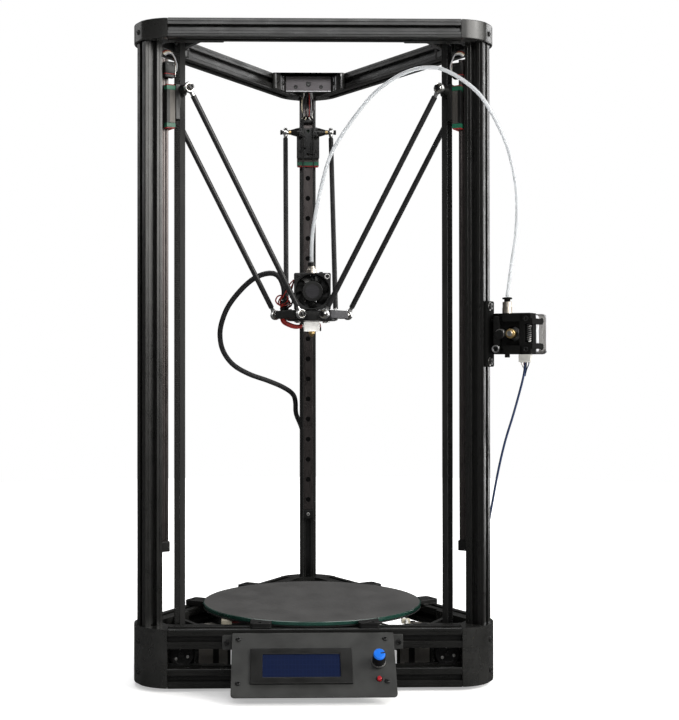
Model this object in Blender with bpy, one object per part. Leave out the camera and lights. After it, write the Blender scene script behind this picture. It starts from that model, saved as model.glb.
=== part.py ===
"""A delta 3D printer: three slotted columns, six rods, a round bed and a side filament drive.

All sizes below are millimetres. The machine axis is the middle of the three towers, and each
tower's own frame has +Y pointing away from that axis. Tower a stands front left, b front right
and c at the back.
"""

import math

import bmesh
import bpy
from mathutils import Matrix, Vector

MM = 0.001

# Overall frame
TOWERS = {"a": 210, "b": 330, "c": 90}
SIDES = {"front": 270, "right": 30, "left": 150}
FRAME_HEIGHT = 680
FOOT_HEIGHT = 4
AXIS_X, AXIS_Y = -29.01, -15.39  # machine axis, measured from the middle of the footprint
TOWER_RADIUS = 196
BEAM_RADIUS = 115
BEAM_HALF_LENGTH = 149.5
PROFILE = 20
BASE_HEIGHT = 60
GAP = 0.3

# Corner brackets
ARM_START, ARM_THICKNESS = 93, 4.2
WALL_INNER, WALL_OUTER = 153, 157
NOSE_CENTRE, NOSE_RADIUS = 168.6, 41.2
LID = 2

# Motion: rails, carriages, rods
RAIL_WIDTH, RAIL_HEIGHT = 12, 8
RAIL_LOW, RAIL_LENGTH = 145, 500
RAIL_FACE = TOWER_RADIUS - PROFILE / 2
JOINT_RADIUS = 165
JOINT_HALF_SPAN = 28
JOINT_HEIGHT = 612.6
ROD_LENGTH = 267
DELTA_RADIUS = 134.4
HEAD_RADIUS = JOINT_RADIUS - DELTA_RADIUS
HEAD_HEIGHT = JOINT_HEIGHT - math.sqrt(ROD_LENGTH**2 - DELTA_RADIUS**2)
BALL_RADIUS, BOLT_RADIUS = 3.7, 1.5
EYE_BORE, EYE_RADIUS, EYE_WIDTH = 4.1, 5.6, 4.6
ROD_RADIUS = 2.9

# Belts
BELT_RADIUS_FROM_AXIS, BELT_WIDTH, BELT_THICKNESS = 162, 6, 1.4
BELT_PITCH_RADIUS = 6.4
IDLER_HEIGHT = 669.6
MOTOR_HEIGHT = 30
MOTOR_SIDE, MOTOR_LENGTH = 42.3, 40

# Bed
BED_RADIUS = 120
BED_TOP = 66
HOLDER_X, HOLDER_Y = 55, 114
GLASS = 4
HEATER = 1.3

# Filament drive, in tower b's frame
DRIVE_Y, DRIVE_Z = 233.5, 359
DRIVE_BACK, DRIVE_FRONT = -13, 4
LEVER_Y, LEVER_Z = 217, 343.4
FILAMENT_Y = 227.6

# Control panel, whose own frame has +Y up the plate and +Z out of its face
PANEL_TILT = 45
PANEL_WIDTH, PANEL_LENGTH, PANEL_THICKNESS = 163, 73, 2
PANEL_X, PANEL_TOP_Y, PANEL_TOP_Z = -2.5, -127.4, 56.7
DISPLAY_X, DISPLAY_Y = -12, -39
KNOB_X, KNOB_Y = 64.5, -35.7
BUTTON_Y = -53.3


# ---------------------------------------------------------------- shapes


def to_mesh(bm):
    bmesh.ops.recalc_face_normals(bm, faces=bm.faces)
    mesh = bpy.data.meshes.new("shape")
    bm.to_mesh(mesh)
    bm.free()
    return mesh


def prism(outline, low, high):
    """An outline of (x, y) points, extruded from z = low to z = high."""
    bm = bmesh.new()
    rings = [[bm.verts.new((x * MM, y * MM, z * MM)) for x, y in outline] for z in (low, high)]
    bm.faces.new(reversed(rings[0]))
    bm.faces.new(rings[1])
    for i in range(len(outline)):
        j = (i + 1) % len(outline)
        bm.faces.new((rings[0][i], rings[0][j], rings[1][j], rings[1][i]))
    return to_mesh(bm)


def box(x_range, y_range, z_range):
    (x0, x1), (y0, y1) = x_range, y_range
    return prism([(x0, y0), (x1, y0), (x1, y1), (x0, y1)], *z_range)


def circle(radius, sides, centre=(0, 0)):
    angles = [2 * math.pi * (i + 0.5) / sides for i in range(sides)]
    return [(centre[0] + radius * math.cos(a), centre[1] + radius * math.sin(a)) for a in angles]


def lathe(profile, sides=24):
    """A profile of (radius, height) points turned about Z. A profile off the axis closes on itself."""
    bm = bmesh.new()
    rings = []
    for radius, height in profile:
        if radius == 0:
            rings.append([bm.verts.new((0, 0, height * MM))])
        else:
            rings.append([bm.verts.new((x * MM, y * MM, height * MM)) for x, y in circle(radius, sides)])
    pairs = list(zip(rings, rings[1:]))
    if len(rings[0]) > 1:
        pairs.append((rings[-1], rings[0]))
    for low, high in pairs:
        for i in range(sides):
            j = (i + 1) % sides
            corners = [low[i % len(low)], low[j % len(low)], high[j % len(high)], high[i % len(high)]]
            bm.faces.new(list(dict.fromkeys(corners)))
    return to_mesh(bm)


def rod_between(radius, start, end, sides=12):
    """A cylinder from one point to another."""
    start, end = Vector(start), Vector(end)
    mesh = prism(circle(radius, sides), 0, (end - start).length)
    turn = (end - start).to_track_quat("Z", "Y").to_matrix().to_4x4()
    mesh.transform(Matrix.Translation(start * MM) @ turn)
    return mesh


def moved(mesh, *offset):
    mesh.transform(Matrix.Translation(Vector(offset) * MM))
    return mesh


def turned(mesh, axis, degrees, centre=(0, 0, 0)):
    """The mesh, turned about an axis through the origin and then moved to centre."""
    mesh.transform(Matrix.Rotation(math.radians(degrees), 4, axis))
    return moved(mesh, *centre)


def rounded(corners, segments=4):
    """An outline whose (x, y, radius) corners are replaced by arcs."""
    outline = []
    for i, (x, y, radius) in enumerate(corners):
        here = Vector((x, y))
        if radius == 0:
            outline.append((x, y))
            continue
        before = (Vector(corners[i - 1][:2]) - here).normalized()
        after = (Vector(corners[(i + 1) % len(corners)][:2]) - here).normalized()
        half = before.angle(after) / 2
        centre = here + (before + after).normalized() * radius / math.sin(half)
        start = here + before * radius / math.tan(half) - centre
        sweep = start.angle_signed(here + after * radius / math.tan(half) - centre)
        for k in range(segments + 1):
            angle = -sweep * k / segments
            c, s = math.cos(angle), math.sin(angle)
            outline.append((centre.x + start.x * c - start.y * s, centre.y + start.x * s + start.y * c))
    return outline


def square(half, radius):
    return [(-half, -half, radius), (half, -half, radius), (half, half, radius), (-half, half, radius)]


def mirrored(half):
    """A closed outline from its right half, listed from the middle outwards."""
    return half + [(-x, y, r) for x, y, r in reversed(half)]


def combined(operation, first, others):
    """The first mesh joined with, or cut by, each of the others."""
    for other in others:
        body = bpy.data.objects.new("body", first)
        tool = bpy.data.objects.new("tool", other)
        for item in (body, tool):
            bpy.context.scene.collection.objects.link(item)
        modifier = body.modifiers.new("boolean", "BOOLEAN")
        modifier.operation = operation
        modifier.object = tool
        graph = bpy.context.evaluated_depsgraph_get()
        first = bpy.data.meshes.new_from_object(body.evaluated_get(graph))
        for item in (body, tool):
            bpy.data.objects.remove(item)
    return first


def joined(first, *others):
    return combined("UNION", first, others)


def cut(first, *others):
    return combined("DIFFERENCE", first, others)


# ---------------------------------------------------------------- materials and placing


def material(name, colour, roughness, metallic):
    made = bpy.data.materials.new(name)
    made.use_nodes = True
    shader = made.node_tree.nodes["Principled BSDF"]
    shader.inputs["Base Color"].default_value = (*colour, 1)
    shader.inputs["Roughness"].default_value = roughness
    shader.inputs["Metallic"].default_value = metallic
    return made


def empty(name, parent=None, location=(0, 0, 0), rotation=(0, 0, 0)):
    made = bpy.data.objects.new(name, None)
    bpy.context.scene.collection.objects.link(made)
    made.parent = parent
    made.location = Vector(location) * MM
    made.rotation_euler = [math.radians(angle) for angle in rotation]
    return made


def part(name, mesh, look, parent, location=(0, 0, 0), rotation=(0, 0, 0)):
    """A sub-part: its mesh, its material and its place under its parent."""
    mesh.materials.clear()
    mesh.materials.append(look)
    mesh.shade_smooth()
    mesh.set_sharp_from_angle(angle=math.radians(35))
    made = bpy.data.objects.new(name, mesh)
    bpy.context.scene.collection.objects.link(made)
    made.parent = parent
    made.location = Vector(location) * MM
    made.rotation_euler = [math.radians(angle) for angle in rotation]
    return made


# ---------------------------------------------------------------- frame


def slot_profile():
    """The 20 x 20 extrusion: four slots, each with a narrow mouth and a wider inside."""
    edge = PROFILE / 2
    side = [(-edge, edge), (-3.1, edge), (-3.1, 8.2), (-5.5, 8.2), (-5.5, 6.8), (-3.3, 4.6)]
    side += [(-x, y) for x, y in reversed(side[1:])]
    outline = []
    for turn in range(4):
        c, s = math.cos(-turn * math.pi / 2), math.sin(-turn * math.pi / 2)
        outline += [(x * c - y * s, x * s + y * c) for x, y in side]
    return outline


def column_mesh():
    mesh = prism(slot_profile(), LID + GAP, FRAME_HEIGHT - LID - GAP)
    return moved(mesh, 0, TOWER_RADIUS, 0)


def beam_mesh(centre_height):
    mesh = prism(slot_profile(), -BEAM_HALF_LENGTH, BEAM_HALF_LENGTH)
    return turned(mesh, "Y", 90, (0, BEAM_RADIUS, centre_height))


def on_beam(normal, along):
    """A point in a tower's frame, from its distance off the axis and along the next beam."""
    c, s = math.cos(math.radians(30)), 0.5
    return (normal * c - along * s, normal * s + along * c)


def bracket_outline():
    """The bracket hugs the column, meets both beam ends and runs an arm along each beam."""
    end = BEAM_HALF_LENGTH + GAP
    arm_outer = BEAM_RADIUS - PROFILE / 2 - GAP
    arm_inner = arm_outer - ARM_THICKNESS
    wall_corner = (WALL_INNER - arm_inner * 0.5) / math.cos(math.radians(30))
    angles = [math.radians(35 + 11 * i) for i in range(11)]
    nose = [(NOSE_RADIUS * math.cos(a), NOSE_CENTRE + NOSE_RADIUS * math.sin(a)) for a in angles]
    left = [
        on_beam(arm_outer, end),
        on_beam(arm_outer, ARM_START),
        on_beam(arm_inner, ARM_START),
        on_beam(arm_inner, wall_corner),
    ]
    right = [(x, y) for x, y in reversed(left)]
    return nose + [(-x, y) for x, y in left] + right


def bracket_mesh(low, high, column_range, *extra):
    """A corner bracket with its column socket and its belt pocket."""
    edge = PROFILE / 2 + GAP
    socket = box((-edge, edge), (TOWER_RADIUS - edge, TOWER_RADIUS + edge), column_range)
    pocket = [(24.4, WALL_OUTER, 0), (13.2, 177, 0), (8, 181, 0)]
    hollow = prism(rounded(mirrored(pocket)), *column_range)
    return cut(joined(prism(bracket_outline(), low, high), *extra), socket, hollow)


def top_corner_mesh():
    low = FRAME_HEIGHT - PROFILE
    body = bracket_mesh(low, FRAME_HEIGHT, (low - 1, FRAME_HEIGHT - LID))
    axle_start, axle_end = (0, WALL_INNER + 1, IDLER_HEIGHT), (0, 168, IDLER_HEIGHT)
    return joined(body, rod_between(BOLT_RADIUS, axle_start, axle_end))


def base_corner_mesh():
    foot = prism(circle(9, 20, (0, 168)), -FOOT_HEIGHT, 1)
    body = bracket_mesh(0, BASE_HEIGHT, (LID, BASE_HEIGHT + 1), foot)
    boss = rod_between(11.4, (0, WALL_INNER - 2, MOTOR_HEIGHT), (0, WALL_OUTER + 1, MOTOR_HEIGHT), 24)
    return cut(body, boss)


def build_frame(towers, sides, looks):
    column, top, base = column_mesh(), top_corner_mesh(), base_corner_mesh()
    for name, frame in towers.items():
        part(f"column_{name}", column, looks["anodised"], frame)
        part(f"top_corner_{name}", top, looks["bracket"], frame)
        part(f"base_corner_{name}", base, looks["bracket"], frame)
    rows = {"top_beam": FRAME_HEIGHT - 10, "base_beam_upper": BASE_HEIGHT - 10, "base_beam_lower": 10}
    for row, height in rows.items():
        beam = beam_mesh(height)
        for name, frame in sides.items():
            part(f"{row}_{name}", beam, looks["anodised"], frame)


# ---------------------------------------------------------------- rails, carriages, rods


def rail_mesh():
    """A profiled rail on the column's inner face, with a stop block under its lower end."""
    half = RAIL_WIDTH / 2
    right = [(half, 0), (half, 2), (half - 0.9, 3.2), (half - 0.9, 4.6), (half, 5.8), (half, RAIL_HEIGHT)]
    outline = [(x, -y) for x, y in right] + [(-x, -y) for x, y in reversed(right)]
    face = RAIL_FACE - GAP
    rail = moved(prism(outline, RAIL_LOW, RAIL_LOW + RAIL_LENGTH), 0, face, 0)
    stop = box((-7, 7), (face - RAIL_HEIGHT - 1.5, face), (RAIL_LOW - 11, RAIL_LOW + 0.5))
    return joined(rail, stop)


def joint_bolt(x_sign, joint, inner, outer):
    """A bolt along X from its arm out to its head, with the joint ball on it."""
    joint = Vector(joint)
    side = Vector((x_sign, 0, 0))
    shank = rod_between(BOLT_RADIUS, joint - side * inner, joint + side * (outer - 1), 8)
    head = rod_between(2.9, joint + side * (outer - 2.8), joint + side * outer, 8)
    ball_profile = [(0, -BALL_RADIUS)]
    for step in range(1, 4):
        angle = math.pi * step / 4
        ball_profile.append((BALL_RADIUS * math.sin(angle), -BALL_RADIUS * math.cos(angle)))
    ball = turned(lathe(ball_profile + [(0, BALL_RADIUS)], 10), "Y", 90, joint)
    return [shank, head, ball]


def carriage_mesh():
    """Bearing block on the rail, black plate in front of it and a cone arm each side."""
    top = JOINT_HEIGHT
    face = RAIL_FACE - 13
    block = box((-13.5, 13.5), (face, RAIL_FACE - 3), (top - 40.9, top + 4.5))
    channel = box((-6.5, 6.5), (RAIL_FACE - RAIL_HEIGHT - 0.8, RAIL_FACE), (top - 50, top + 20))
    plate = box((-14, 14), (face - 5, face + 0.5), (top - 32, top + 6))
    pieces = [plate]
    for side in (-1, 1):
        cone = [(0, 8.5), (6.2, 8.5), (6.2, 12), (3.4, 21.5), (2.5, 21.5), (2.5, 25), (0, 25)]
        pieces.append(turned(lathe(cone, 12), "Y", 90 * side, (0, JOINT_RADIUS, top)))
        pieces += joint_bolt(side, (side * JOINT_HALF_SPAN, JOINT_RADIUS, top), 4, 6.5)
    return cut(joined(block, *pieces), channel)


def rod_mesh():
    """A rod hanging along -Z from the middle of its upper eye, with the eye axes along X."""
    eye_profile = [
        (EYE_BORE, -EYE_WIDTH / 2),
        (EYE_RADIUS, -EYE_WIDTH / 2),
        (EYE_RADIUS, EYE_WIDTH / 2),
        (EYE_BORE, EYE_WIDTH / 2),
    ]
    neck = 14
    shaft = rod_between(ROD_RADIUS, (0, 0, -neck + 0.5), (0, 0, neck - 0.5 - ROD_LENGTH), 8)
    ends = []
    for end, direction in ((0, -1), (-ROD_LENGTH, 1)):
        eye = turned(lathe(eye_profile, 14), "Y", 90, (0, 0, end))
        stem = rod_between(2.1, (0, 0, end + direction * 4.9), (0, 0, end + direction * neck), 8)
        ends.append(joined(eye, stem))
    return joined(shaft, *ends)


def build_motion(towers, looks):
    rail, carriage, rod = rail_mesh(), carriage_mesh(), rod_mesh()
    lean = -math.degrees(math.asin(DELTA_RADIUS / ROD_LENGTH))
    for name, frame in towers.items():
        part(f"rail_{name}", rail, looks["rail"], frame)
        part(f"carriage_{name}", carriage, looks["black"], frame)
        for side, x in (("left", -JOINT_HALF_SPAN), ("right", JOINT_HALF_SPAN)):
            place = (x, JOINT_RADIUS, JOINT_HEIGHT)
            part(f"rod_{name}_{side}", rod, looks["rod"], frame, place, (lean, 0, 0))


# ---------------------------------------------------------------- belt drives


def belt_mesh():
    """The belt loop round the drive pulley and the idler."""

    def loop(radius):
        ends = ((MOTOR_HEIGHT, math.pi), (IDLER_HEIGHT, 0))
        arc = [math.pi * i / 10 for i in range(11)]
        return [(radius * math.cos(s + a), z + radius * math.sin(s + a)) for z, s in ends for a in arc]

    half = BELT_THICKNESS / 2
    width = (-BELT_WIDTH / 2, BELT_WIDTH / 2)
    outer = prism(loop(BELT_PITCH_RADIUS + half), *width)
    inner = prism(loop(BELT_PITCH_RADIUS - half), width[0] - 1, width[1] + 1)
    return turned(cut(outer, inner), "X", 90, (0, BELT_RADIUS_FROM_AXIS, 0))


def pulley_profile():
    """A flanged pulley round Z, from its back flange to its front one."""
    core, flange = BELT_PITCH_RADIUS - BELT_THICKNESS / 2 - 0.4, 7.6
    face, rim = BELT_WIDTH / 2 + 0.3, BELT_WIDTH / 2 + 1.1
    return [(flange, -rim), (flange, -face), (core, -face), (core, face), (flange, face), (flange, rim)]


def drive_pulley_mesh():
    """The pulley with the motor shaft that carries it."""
    shaft_end = WALL_INNER + 2 - BELT_RADIUS_FROM_AXIS
    back = pulley_profile()[0][1]
    shaft = [(0, shaft_end), (2.5, shaft_end), (2.5, back)]
    front = pulley_profile()[-1][1]
    mesh = lathe(shaft + pulley_profile() + [(0, front)], 16)
    return turned(mesh, "X", -90)


def idler_mesh():
    bore = BOLT_RADIUS + 0.4
    rim = pulley_profile()[-1][1]
    return turned(lathe([(bore, -rim)] + pulley_profile() + [(bore, rim)], 16), "X", -90)


def motor_mesh(length, boss):
    """A square stepper motor along Z, its mounting face at z = 0 and its body below it."""
    body = prism(rounded(square(MOTOR_SIDE / 2, 5), 2), -length, 0)
    return joined(body, prism(circle(11, 20), -1, boss)) if boss else body


def build_drives(towers, looks):
    belt, drive, idler = belt_mesh(), drive_pulley_mesh(), idler_mesh()
    motor = turned(motor_mesh(MOTOR_LENGTH, 1.7), "X", -90)
    for name, frame in towers.items():
        part(f"belt_{name}", belt, looks["rubber"], frame)
        part(f"motor_{name}", motor, looks["black"], frame, (0, WALL_INNER - GAP, MOTOR_HEIGHT))
        middle = (0, BELT_RADIUS_FROM_AXIS, MOTOR_HEIGHT)
        part(f"drive_pulley_{name}", drive, looks["steel"], frame, middle)
        middle = (0, BELT_RADIUS_FROM_AXIS, IDLER_HEIGHT)
        part(f"idler_pulley_{name}", idler, looks["steel"], frame, middle)


# ---------------------------------------------------------------- print head

EFFECTOR_LOW, EFFECTOR_HIGH = 375, 386.4
NOZZLE_TIP = 357.5
FAN_SIDE, FAN_DEPTH, FAN_FACE = 40, 10, -30
FAN_HEIGHT = EFFECTOR_HIGH + GAP + FAN_SIDE / 2
LOOM_START = (-31, 5, 398.5)


def effector_mesh():
    """A plate with a bar along each of its three sides, a joint ball at each bar end."""
    middle = (EFFECTOR_LOW + EFFECTOR_HIGH) / 2
    plate = prism(circle(27, 24), EFFECTOR_LOW, EFFECTOR_HIGH)
    pieces = []
    for angle in TOWERS.values():
        bar = box((-21, 21), (HEAD_RADIUS - 4.5, HEAD_RADIUS + 4.5), (HEAD_HEIGHT - 4.5, HEAD_HEIGHT + 4.4))
        stubs = [bar]
        for side in (-1, 1):
            joint = (side * JOINT_HALF_SPAN, HEAD_RADIUS, HEAD_HEIGHT)
            stubs.append(rod_between(2.5, (side * 20, HEAD_RADIUS, HEAD_HEIGHT), (side * 25, *joint[1:])))
            stubs += joint_bolt(side, joint, 4, 6.5)
        for stub in stubs:
            pieces.append(turned(stub, "Z", angle - 90))
    clip = rod_between(4, (*LOOM_START[:2], middle), (*LOOM_START[:2], LOOM_START[2] - GAP), 12)
    tie = box((-33, -20), (2, 8), (EFFECTOR_LOW + 2, EFFECTOR_HIGH - 1))
    bore = prism(circle(8.6, 20), EFFECTOR_LOW - 1, EFFECTOR_HIGH + 1)
    return cut(joined(plate, *pieces, tie, clip), bore)


def hotend_mesh():
    """Nozzle, heater block, heat break, finned sink and the tube fitting on top."""
    turned_profile = [
        (0, NOZZLE_TIP),
        (0.8, NOZZLE_TIP),
        (3.2, NOZZLE_TIP + 3.2),
        (3.2, 364.5),
        (3, 376),
        (8, 376),
        (8, 388),
        (11, 388),
        (11, 424),
        (6.4, 424),
        (6.4, 432.5),
        (4.6, 434),
        (4.6, 440.2),
        (0, 440.2),
    ]
    block = box((-8.7, 8.7), (-7, 9), (363.6, 374.8))
    return joined(lathe(turned_profile, 20), block)


def fan_frame_mesh():
    """The square fan frame, the spokes and plate behind the rotor, and the two duct walls."""
    half = FAN_SIDE / 2
    back = FAN_FACE + FAN_DEPTH
    outline = rounded(square(half, 3), 2)
    frame = cut(prism(outline, 0, FAN_DEPTH), prism(circle(18.6, 32), -1, FAN_DEPTH + 1))
    pieces = [prism(circle(9, 16), 0, 1.5)]
    for turn in (90, 210, 330):
        pieces.append(turned(box((0, 19.5), (-1.2, 1.2), (0, 1.5)), "Z", turn))
    frame = turned(joined(frame, *pieces), "X", 90, (0, back, FAN_HEIGHT))
    low, high = FAN_HEIGHT - half + 1.5, FAN_HEIGHT + half - 1.5
    walls = [box((x, x + 2), (back - 0.5, 9), (low, high)) for x in (-half + 1, half - 3)]
    return joined(frame, *walls)


def fan_rotor_mesh():
    """Hub and seven pitched blades, turning about Z through the fan's middle."""
    hub = prism(circle(11.4, 24), -2.8, 4.6)
    blades = []
    for number in range(7):
        blade = turned(box((10.5, 17.8), (-4.6, 4.6), (-0.5, 0.5)), "X", 32)
        blades.append(turned(blade, "Z", 360 * number / 7))
    return turned(joined(hub, *blades), "X", 90)


def build_head(axis, looks):
    part("effector", effector_mesh(), looks["dark_metal"], axis)
    part("hotend", hotend_mesh(), looks["steel"], axis)
    part("fan_frame", fan_frame_mesh(), looks["black"], axis)
    part("fan_rotor", fan_rotor_mesh(), looks["black"], axis, (0, FAN_FACE + 5.2, FAN_HEIGHT))


# ---------------------------------------------------------------- bed and power supply


def bed_heater_mesh():
    """A round heater board with two holders on each beam, which stand round the plate's edge."""
    top = BED_TOP - GLASS - GAP
    board = prism(circle(BED_RADIUS, 64), top - HEATER, top)
    plate_space = prism(circle(BED_RADIUS + GAP, 64), top - 0.1, BED_TOP + 1)
    holders = []
    for angle in SIDES.values():
        for x in (-HOLDER_X, HOLDER_X):
            block = prism(rounded(square(10.8, 3), 2), BASE_HEIGHT + GAP, BED_TOP - 0.2)
            holder = cut(moved(block, x, HOLDER_Y, 0), plate_space)
            holders.append(turned(holder, "Z", angle - 90))
    return joined(board, *holders)


def power_supply_mesh():
    case = box((-72, 72), (-44, 44), (23, 53))
    straps = [box((-x, x), (y - 8, y + 8), (PROFILE + GAP, 23.5)) for x, y in ((133, -10), (112, 28))]
    return joined(case, *straps)


def build_bed(axis, looks):
    glass = prism(circle(BED_RADIUS, 64), BED_TOP - GLASS, BED_TOP)
    part("bed_glass", glass, looks["plate"], axis)
    part("bed_heater", bed_heater_mesh(), looks["black"], axis)
    part("power_supply", power_supply_mesh(), looks["steel"], axis)


# ---------------------------------------------------------------- filament drive


def across(outline, x_range):
    """An outline of (y, z) points, extruded along X."""
    mesh = prism(outline, *x_range)
    mesh.transform(Matrix(((0, 0, 1, 0), (1, 0, 0, 0), (0, 1, 0, 0), (0, 0, 0, 1))))
    return mesh


def extruder_body_mesh():
    """Mounting flange and web, the housing in front of the motor and the tube fitting on it."""
    half = MOTOR_SIDE / 2
    face = TOWER_RADIUS + PROFILE / 2 + GAP
    inner, outer = DRIVE_Y - half, DRIVE_Y + half
    low, high = DRIVE_Z - half, DRIVE_Z + half
    flange = box((DRIVE_BACK, 9), (face, face + 3), (325, 393))
    web = box((DRIVE_BACK, DRIVE_BACK + 3.5), (face + 2, outer), (low, high))
    back = box((DRIVE_BACK + 3, -3), (inner, outer), (low, high))
    right = box((-3.5, DRIVE_FRONT), (242, outer), (low, high))
    top = box((-3.5, DRIVE_FRONT), (224, outer), (371.5, high))
    bottom = box((-3.5, DRIVE_FRONT), (225, outer), (low, 347))
    fitting = rod_between(5, (0.5, FILAMENT_Y + 0.9, high - 1), (0.5, FILAMENT_Y + 0.9, 396.5), 14)
    gear_space = across(circle(7.6, 24, (DRIVE_Y, DRIVE_Z)), (DRIVE_BACK - 1, DRIVE_FRONT + 1))
    return cut(joined(back, web, flange, right, top, bottom, fitting), gear_space)


def extruder_lever_mesh():
    """The lever stands on its pivot and carries the bearing that presses on the filament."""
    pivot = across(circle(4.5, 18), (-2.7, 3.7))
    arm = across([(-2.5, 0), (4.2, 0), (4.2, 26), (3, 33.5), (-2.5, 33.5)], (-2.7, 3.7))
    bearing = across(circle(5, 20, (4.7, DRIVE_Z - LEVER_Z)), (-2.2, 4.4))
    return joined(pivot, arm, bearing)


def drive_gear_mesh():
    """Brass gear with its hub, on the motor shaft, turning about X."""
    back = DRIVE_BACK + GAP
    profile = [(0, back), (2.5, back), (2.5, -2), (4.6, -2), (4.6, 1), (5, 1), (5, 6.5), (2.5, 6.5)]
    return turned(lathe(profile + [(2.5, 8), (0, 8)], 20), "Y", 90)


def extruder_motor_mesh():
    motor = turned(motor_mesh(36, 0), "Y", 90, (DRIVE_BACK - GAP, DRIVE_Y, DRIVE_Z))
    low = DRIVE_Z - MOTOR_SIDE / 2
    plug = box((-46.5, -38.5), (DRIVE_Y - 7, DRIVE_Y + 6), (low - 8.3, low + 1))
    return joined(motor, plug)


def build_filament_drive(frame, looks):
    part("extruder_body", extruder_body_mesh(), looks["black"], frame)
    part("extruder_motor", extruder_motor_mesh(), looks["steel"], frame)
    part("extruder_lever", extruder_lever_mesh(), looks["black"], frame, (0, LEVER_Y, LEVER_Z))
    part("drive_gear", drive_gear_mesh(), looks["brass"], frame, (0, DRIVE_Y, DRIVE_Z))


# ---------------------------------------------------------------- control panel

BOARD_DEPTH = 10


def control_panel_mesh():
    """Plate with its side gussets and ears, the display in front and its boards behind."""
    half = PANEL_WIDTH / 2
    left, right = DISPLAY_X - 50.5, DISPLAY_X + 50.5
    plate = box((-half, half), (-PANEL_LENGTH, 0), (-PANEL_THICKNESS, 0))
    bezel = box((left, right), (DISPLAY_Y - 20, DISPLAY_Y + 20), (-1, 2.4))
    board = box((left, right), (-68, -13), (-BOARD_DEPTH, -BOARD_DEPTH + 1.6))
    side_board = box((right - 1, 76), (-62, -13), (-BOARD_DEPTH, -BOARD_DEPTH + 1.6))
    corners = [(left + 4, -17), (left + 4, -64), (right - 4, -64), (72, -17)]
    posts = [prism(circle(3, 10, corner), -BOARD_DEPTH + 0.5, -1) for corner in corners]
    holes = [
        prism(circle(4.1, 16, (KNOB_X, KNOB_Y)), -BOARD_DEPTH - 1, 1),
        prism(circle(2.8, 12, (KNOB_X, BUTTON_Y)), -BOARD_DEPTH - 1, 1),
    ]
    body = cut(joined(plate, bezel, board, side_board, *posts), *holes)
    return joined(body, *panel_brackets())


def panel_brackets():
    """Upright gussets and ears that hold the plate on the front beam, in the panel's frame."""
    half = PANEL_WIDTH / 2
    back = PANEL_TOP_Y + BEAM_RADIUS + PROFILE / 2 + GAP
    pieces = []
    for side in (-1, 1):
        near, far = sorted((side * (half - 2), side * half))
        gusset = across([(-back, -1), (-back, -17), (-30, -31.5), (-1, -2.5)], (near, far))
        near, far = sorted((side * (half - 2), side * (half + 10)))
        ear = across([(-back, -2), (-back, -17), (-back - 2, -17), (-back - 2, -2)], (near, far))
        pieces.append(joined(gusset, ear))
    for piece in pieces:
        piece.transform(Matrix.Rotation(math.radians(PANEL_TILT - 90), 4, "X"))
    return pieces


def build_panel(axis, looks):
    tilt = 90 - PANEL_TILT
    frame = empty("panel_frame", axis, (PANEL_X, PANEL_TOP_Y, PANEL_TOP_Z), (tilt, 0, 0))
    part("control_panel", control_panel_mesh(), looks["panel"], frame)
    shaft = lathe([(0, -BOARD_DEPTH + 2), (3, -BOARD_DEPTH + 2), (3, 10), (0, 10)], 16)
    part("encoder_shaft", shaft, looks["steel"], frame, (KNOB_X, KNOB_Y, 0))
    part("knob", knob_mesh(), looks["blue"], frame, (KNOB_X, KNOB_Y, 0))
    button = lathe([(0, -8), (2.3, -8), (2.3, 2.2), (0, 2.2)], 14)
    part("reset_button", button, looks["red"], frame, (KNOB_X, BUTTON_Y, 0))


def knob_mesh():
    """A tapered cap, hollow from below where it sits on the encoder shaft."""
    solid = lathe([(0, 2), (7, 2), (6.3, 16), (5.7, 18), (0, 18)], 28)
    return cut(solid, prism(circle(3.4, 16), 1, 11))


# ---------------------------------------------------------------- tubes and wires

BOWDEN_ROUTE = [
    (0, 0, 440.5),
    (0.3, -1, 464),
    (3, -7, 487),
    (10.5, -18, 524),
    (20, -30, 555),
    (36, -46, 581),
    (60, -68, 610),
    (81, -86, 625),
    (100, -101, 632),
    (115, -111, 633),
    (129.5, -119, 630),
    (149, -127, 618),
    (168, -132, 600),
    (183, -134, 574.5),
    (196, -134, 544),
    (204.5, -131.5, 504),
    (205, -127, 464),
    (201.5, -119.5, 430),
    (197.8, -114.8, 396.8),
]
LOOM_ROUTE = [
    LOOM_START,
    (-31, 6, 412),
    (-37, 9.5, 425.5),
    (-48, 15, 429),
    (-64, 25, 424),
    (-80, 38, 411),
    (-95, 53, 392.5),
    (-103.5, 68, 372),
    (-105, 83, 355),
    (-101, 98, 339.5),
    (-90, 114, 325),
    (-71.5, 131, 314),
    (-50, 149, 306),
    (-31, 166, 297.5),
    (-19, 182, 288.5),
    (-15.5, 196, 278),
    (-14.5, 208, 263),
    (-7.5, 213.5, 245),
    (-1.5, 211.8, 220),
    (0, 210, 190),
    (0, 210, 140),
    (0, 210, 95),
    (0, 210, 60.4),
]
LEAD_ROUTE = [
    (223, -79.5, 329.2),
    (221, -80, 316),
    (217, -81, 300.5),
    (209.5, -82, 274.5),
    (201, -83.5, 248),
    (193.7, -85, 219),
    (187, -86.5, 185.5),
    (182.5, -87.6, 160),
    (180.3, -88.2, 130),
    (180, -88.3, 95),
    (180, -88.3, 60.4),
]


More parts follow.
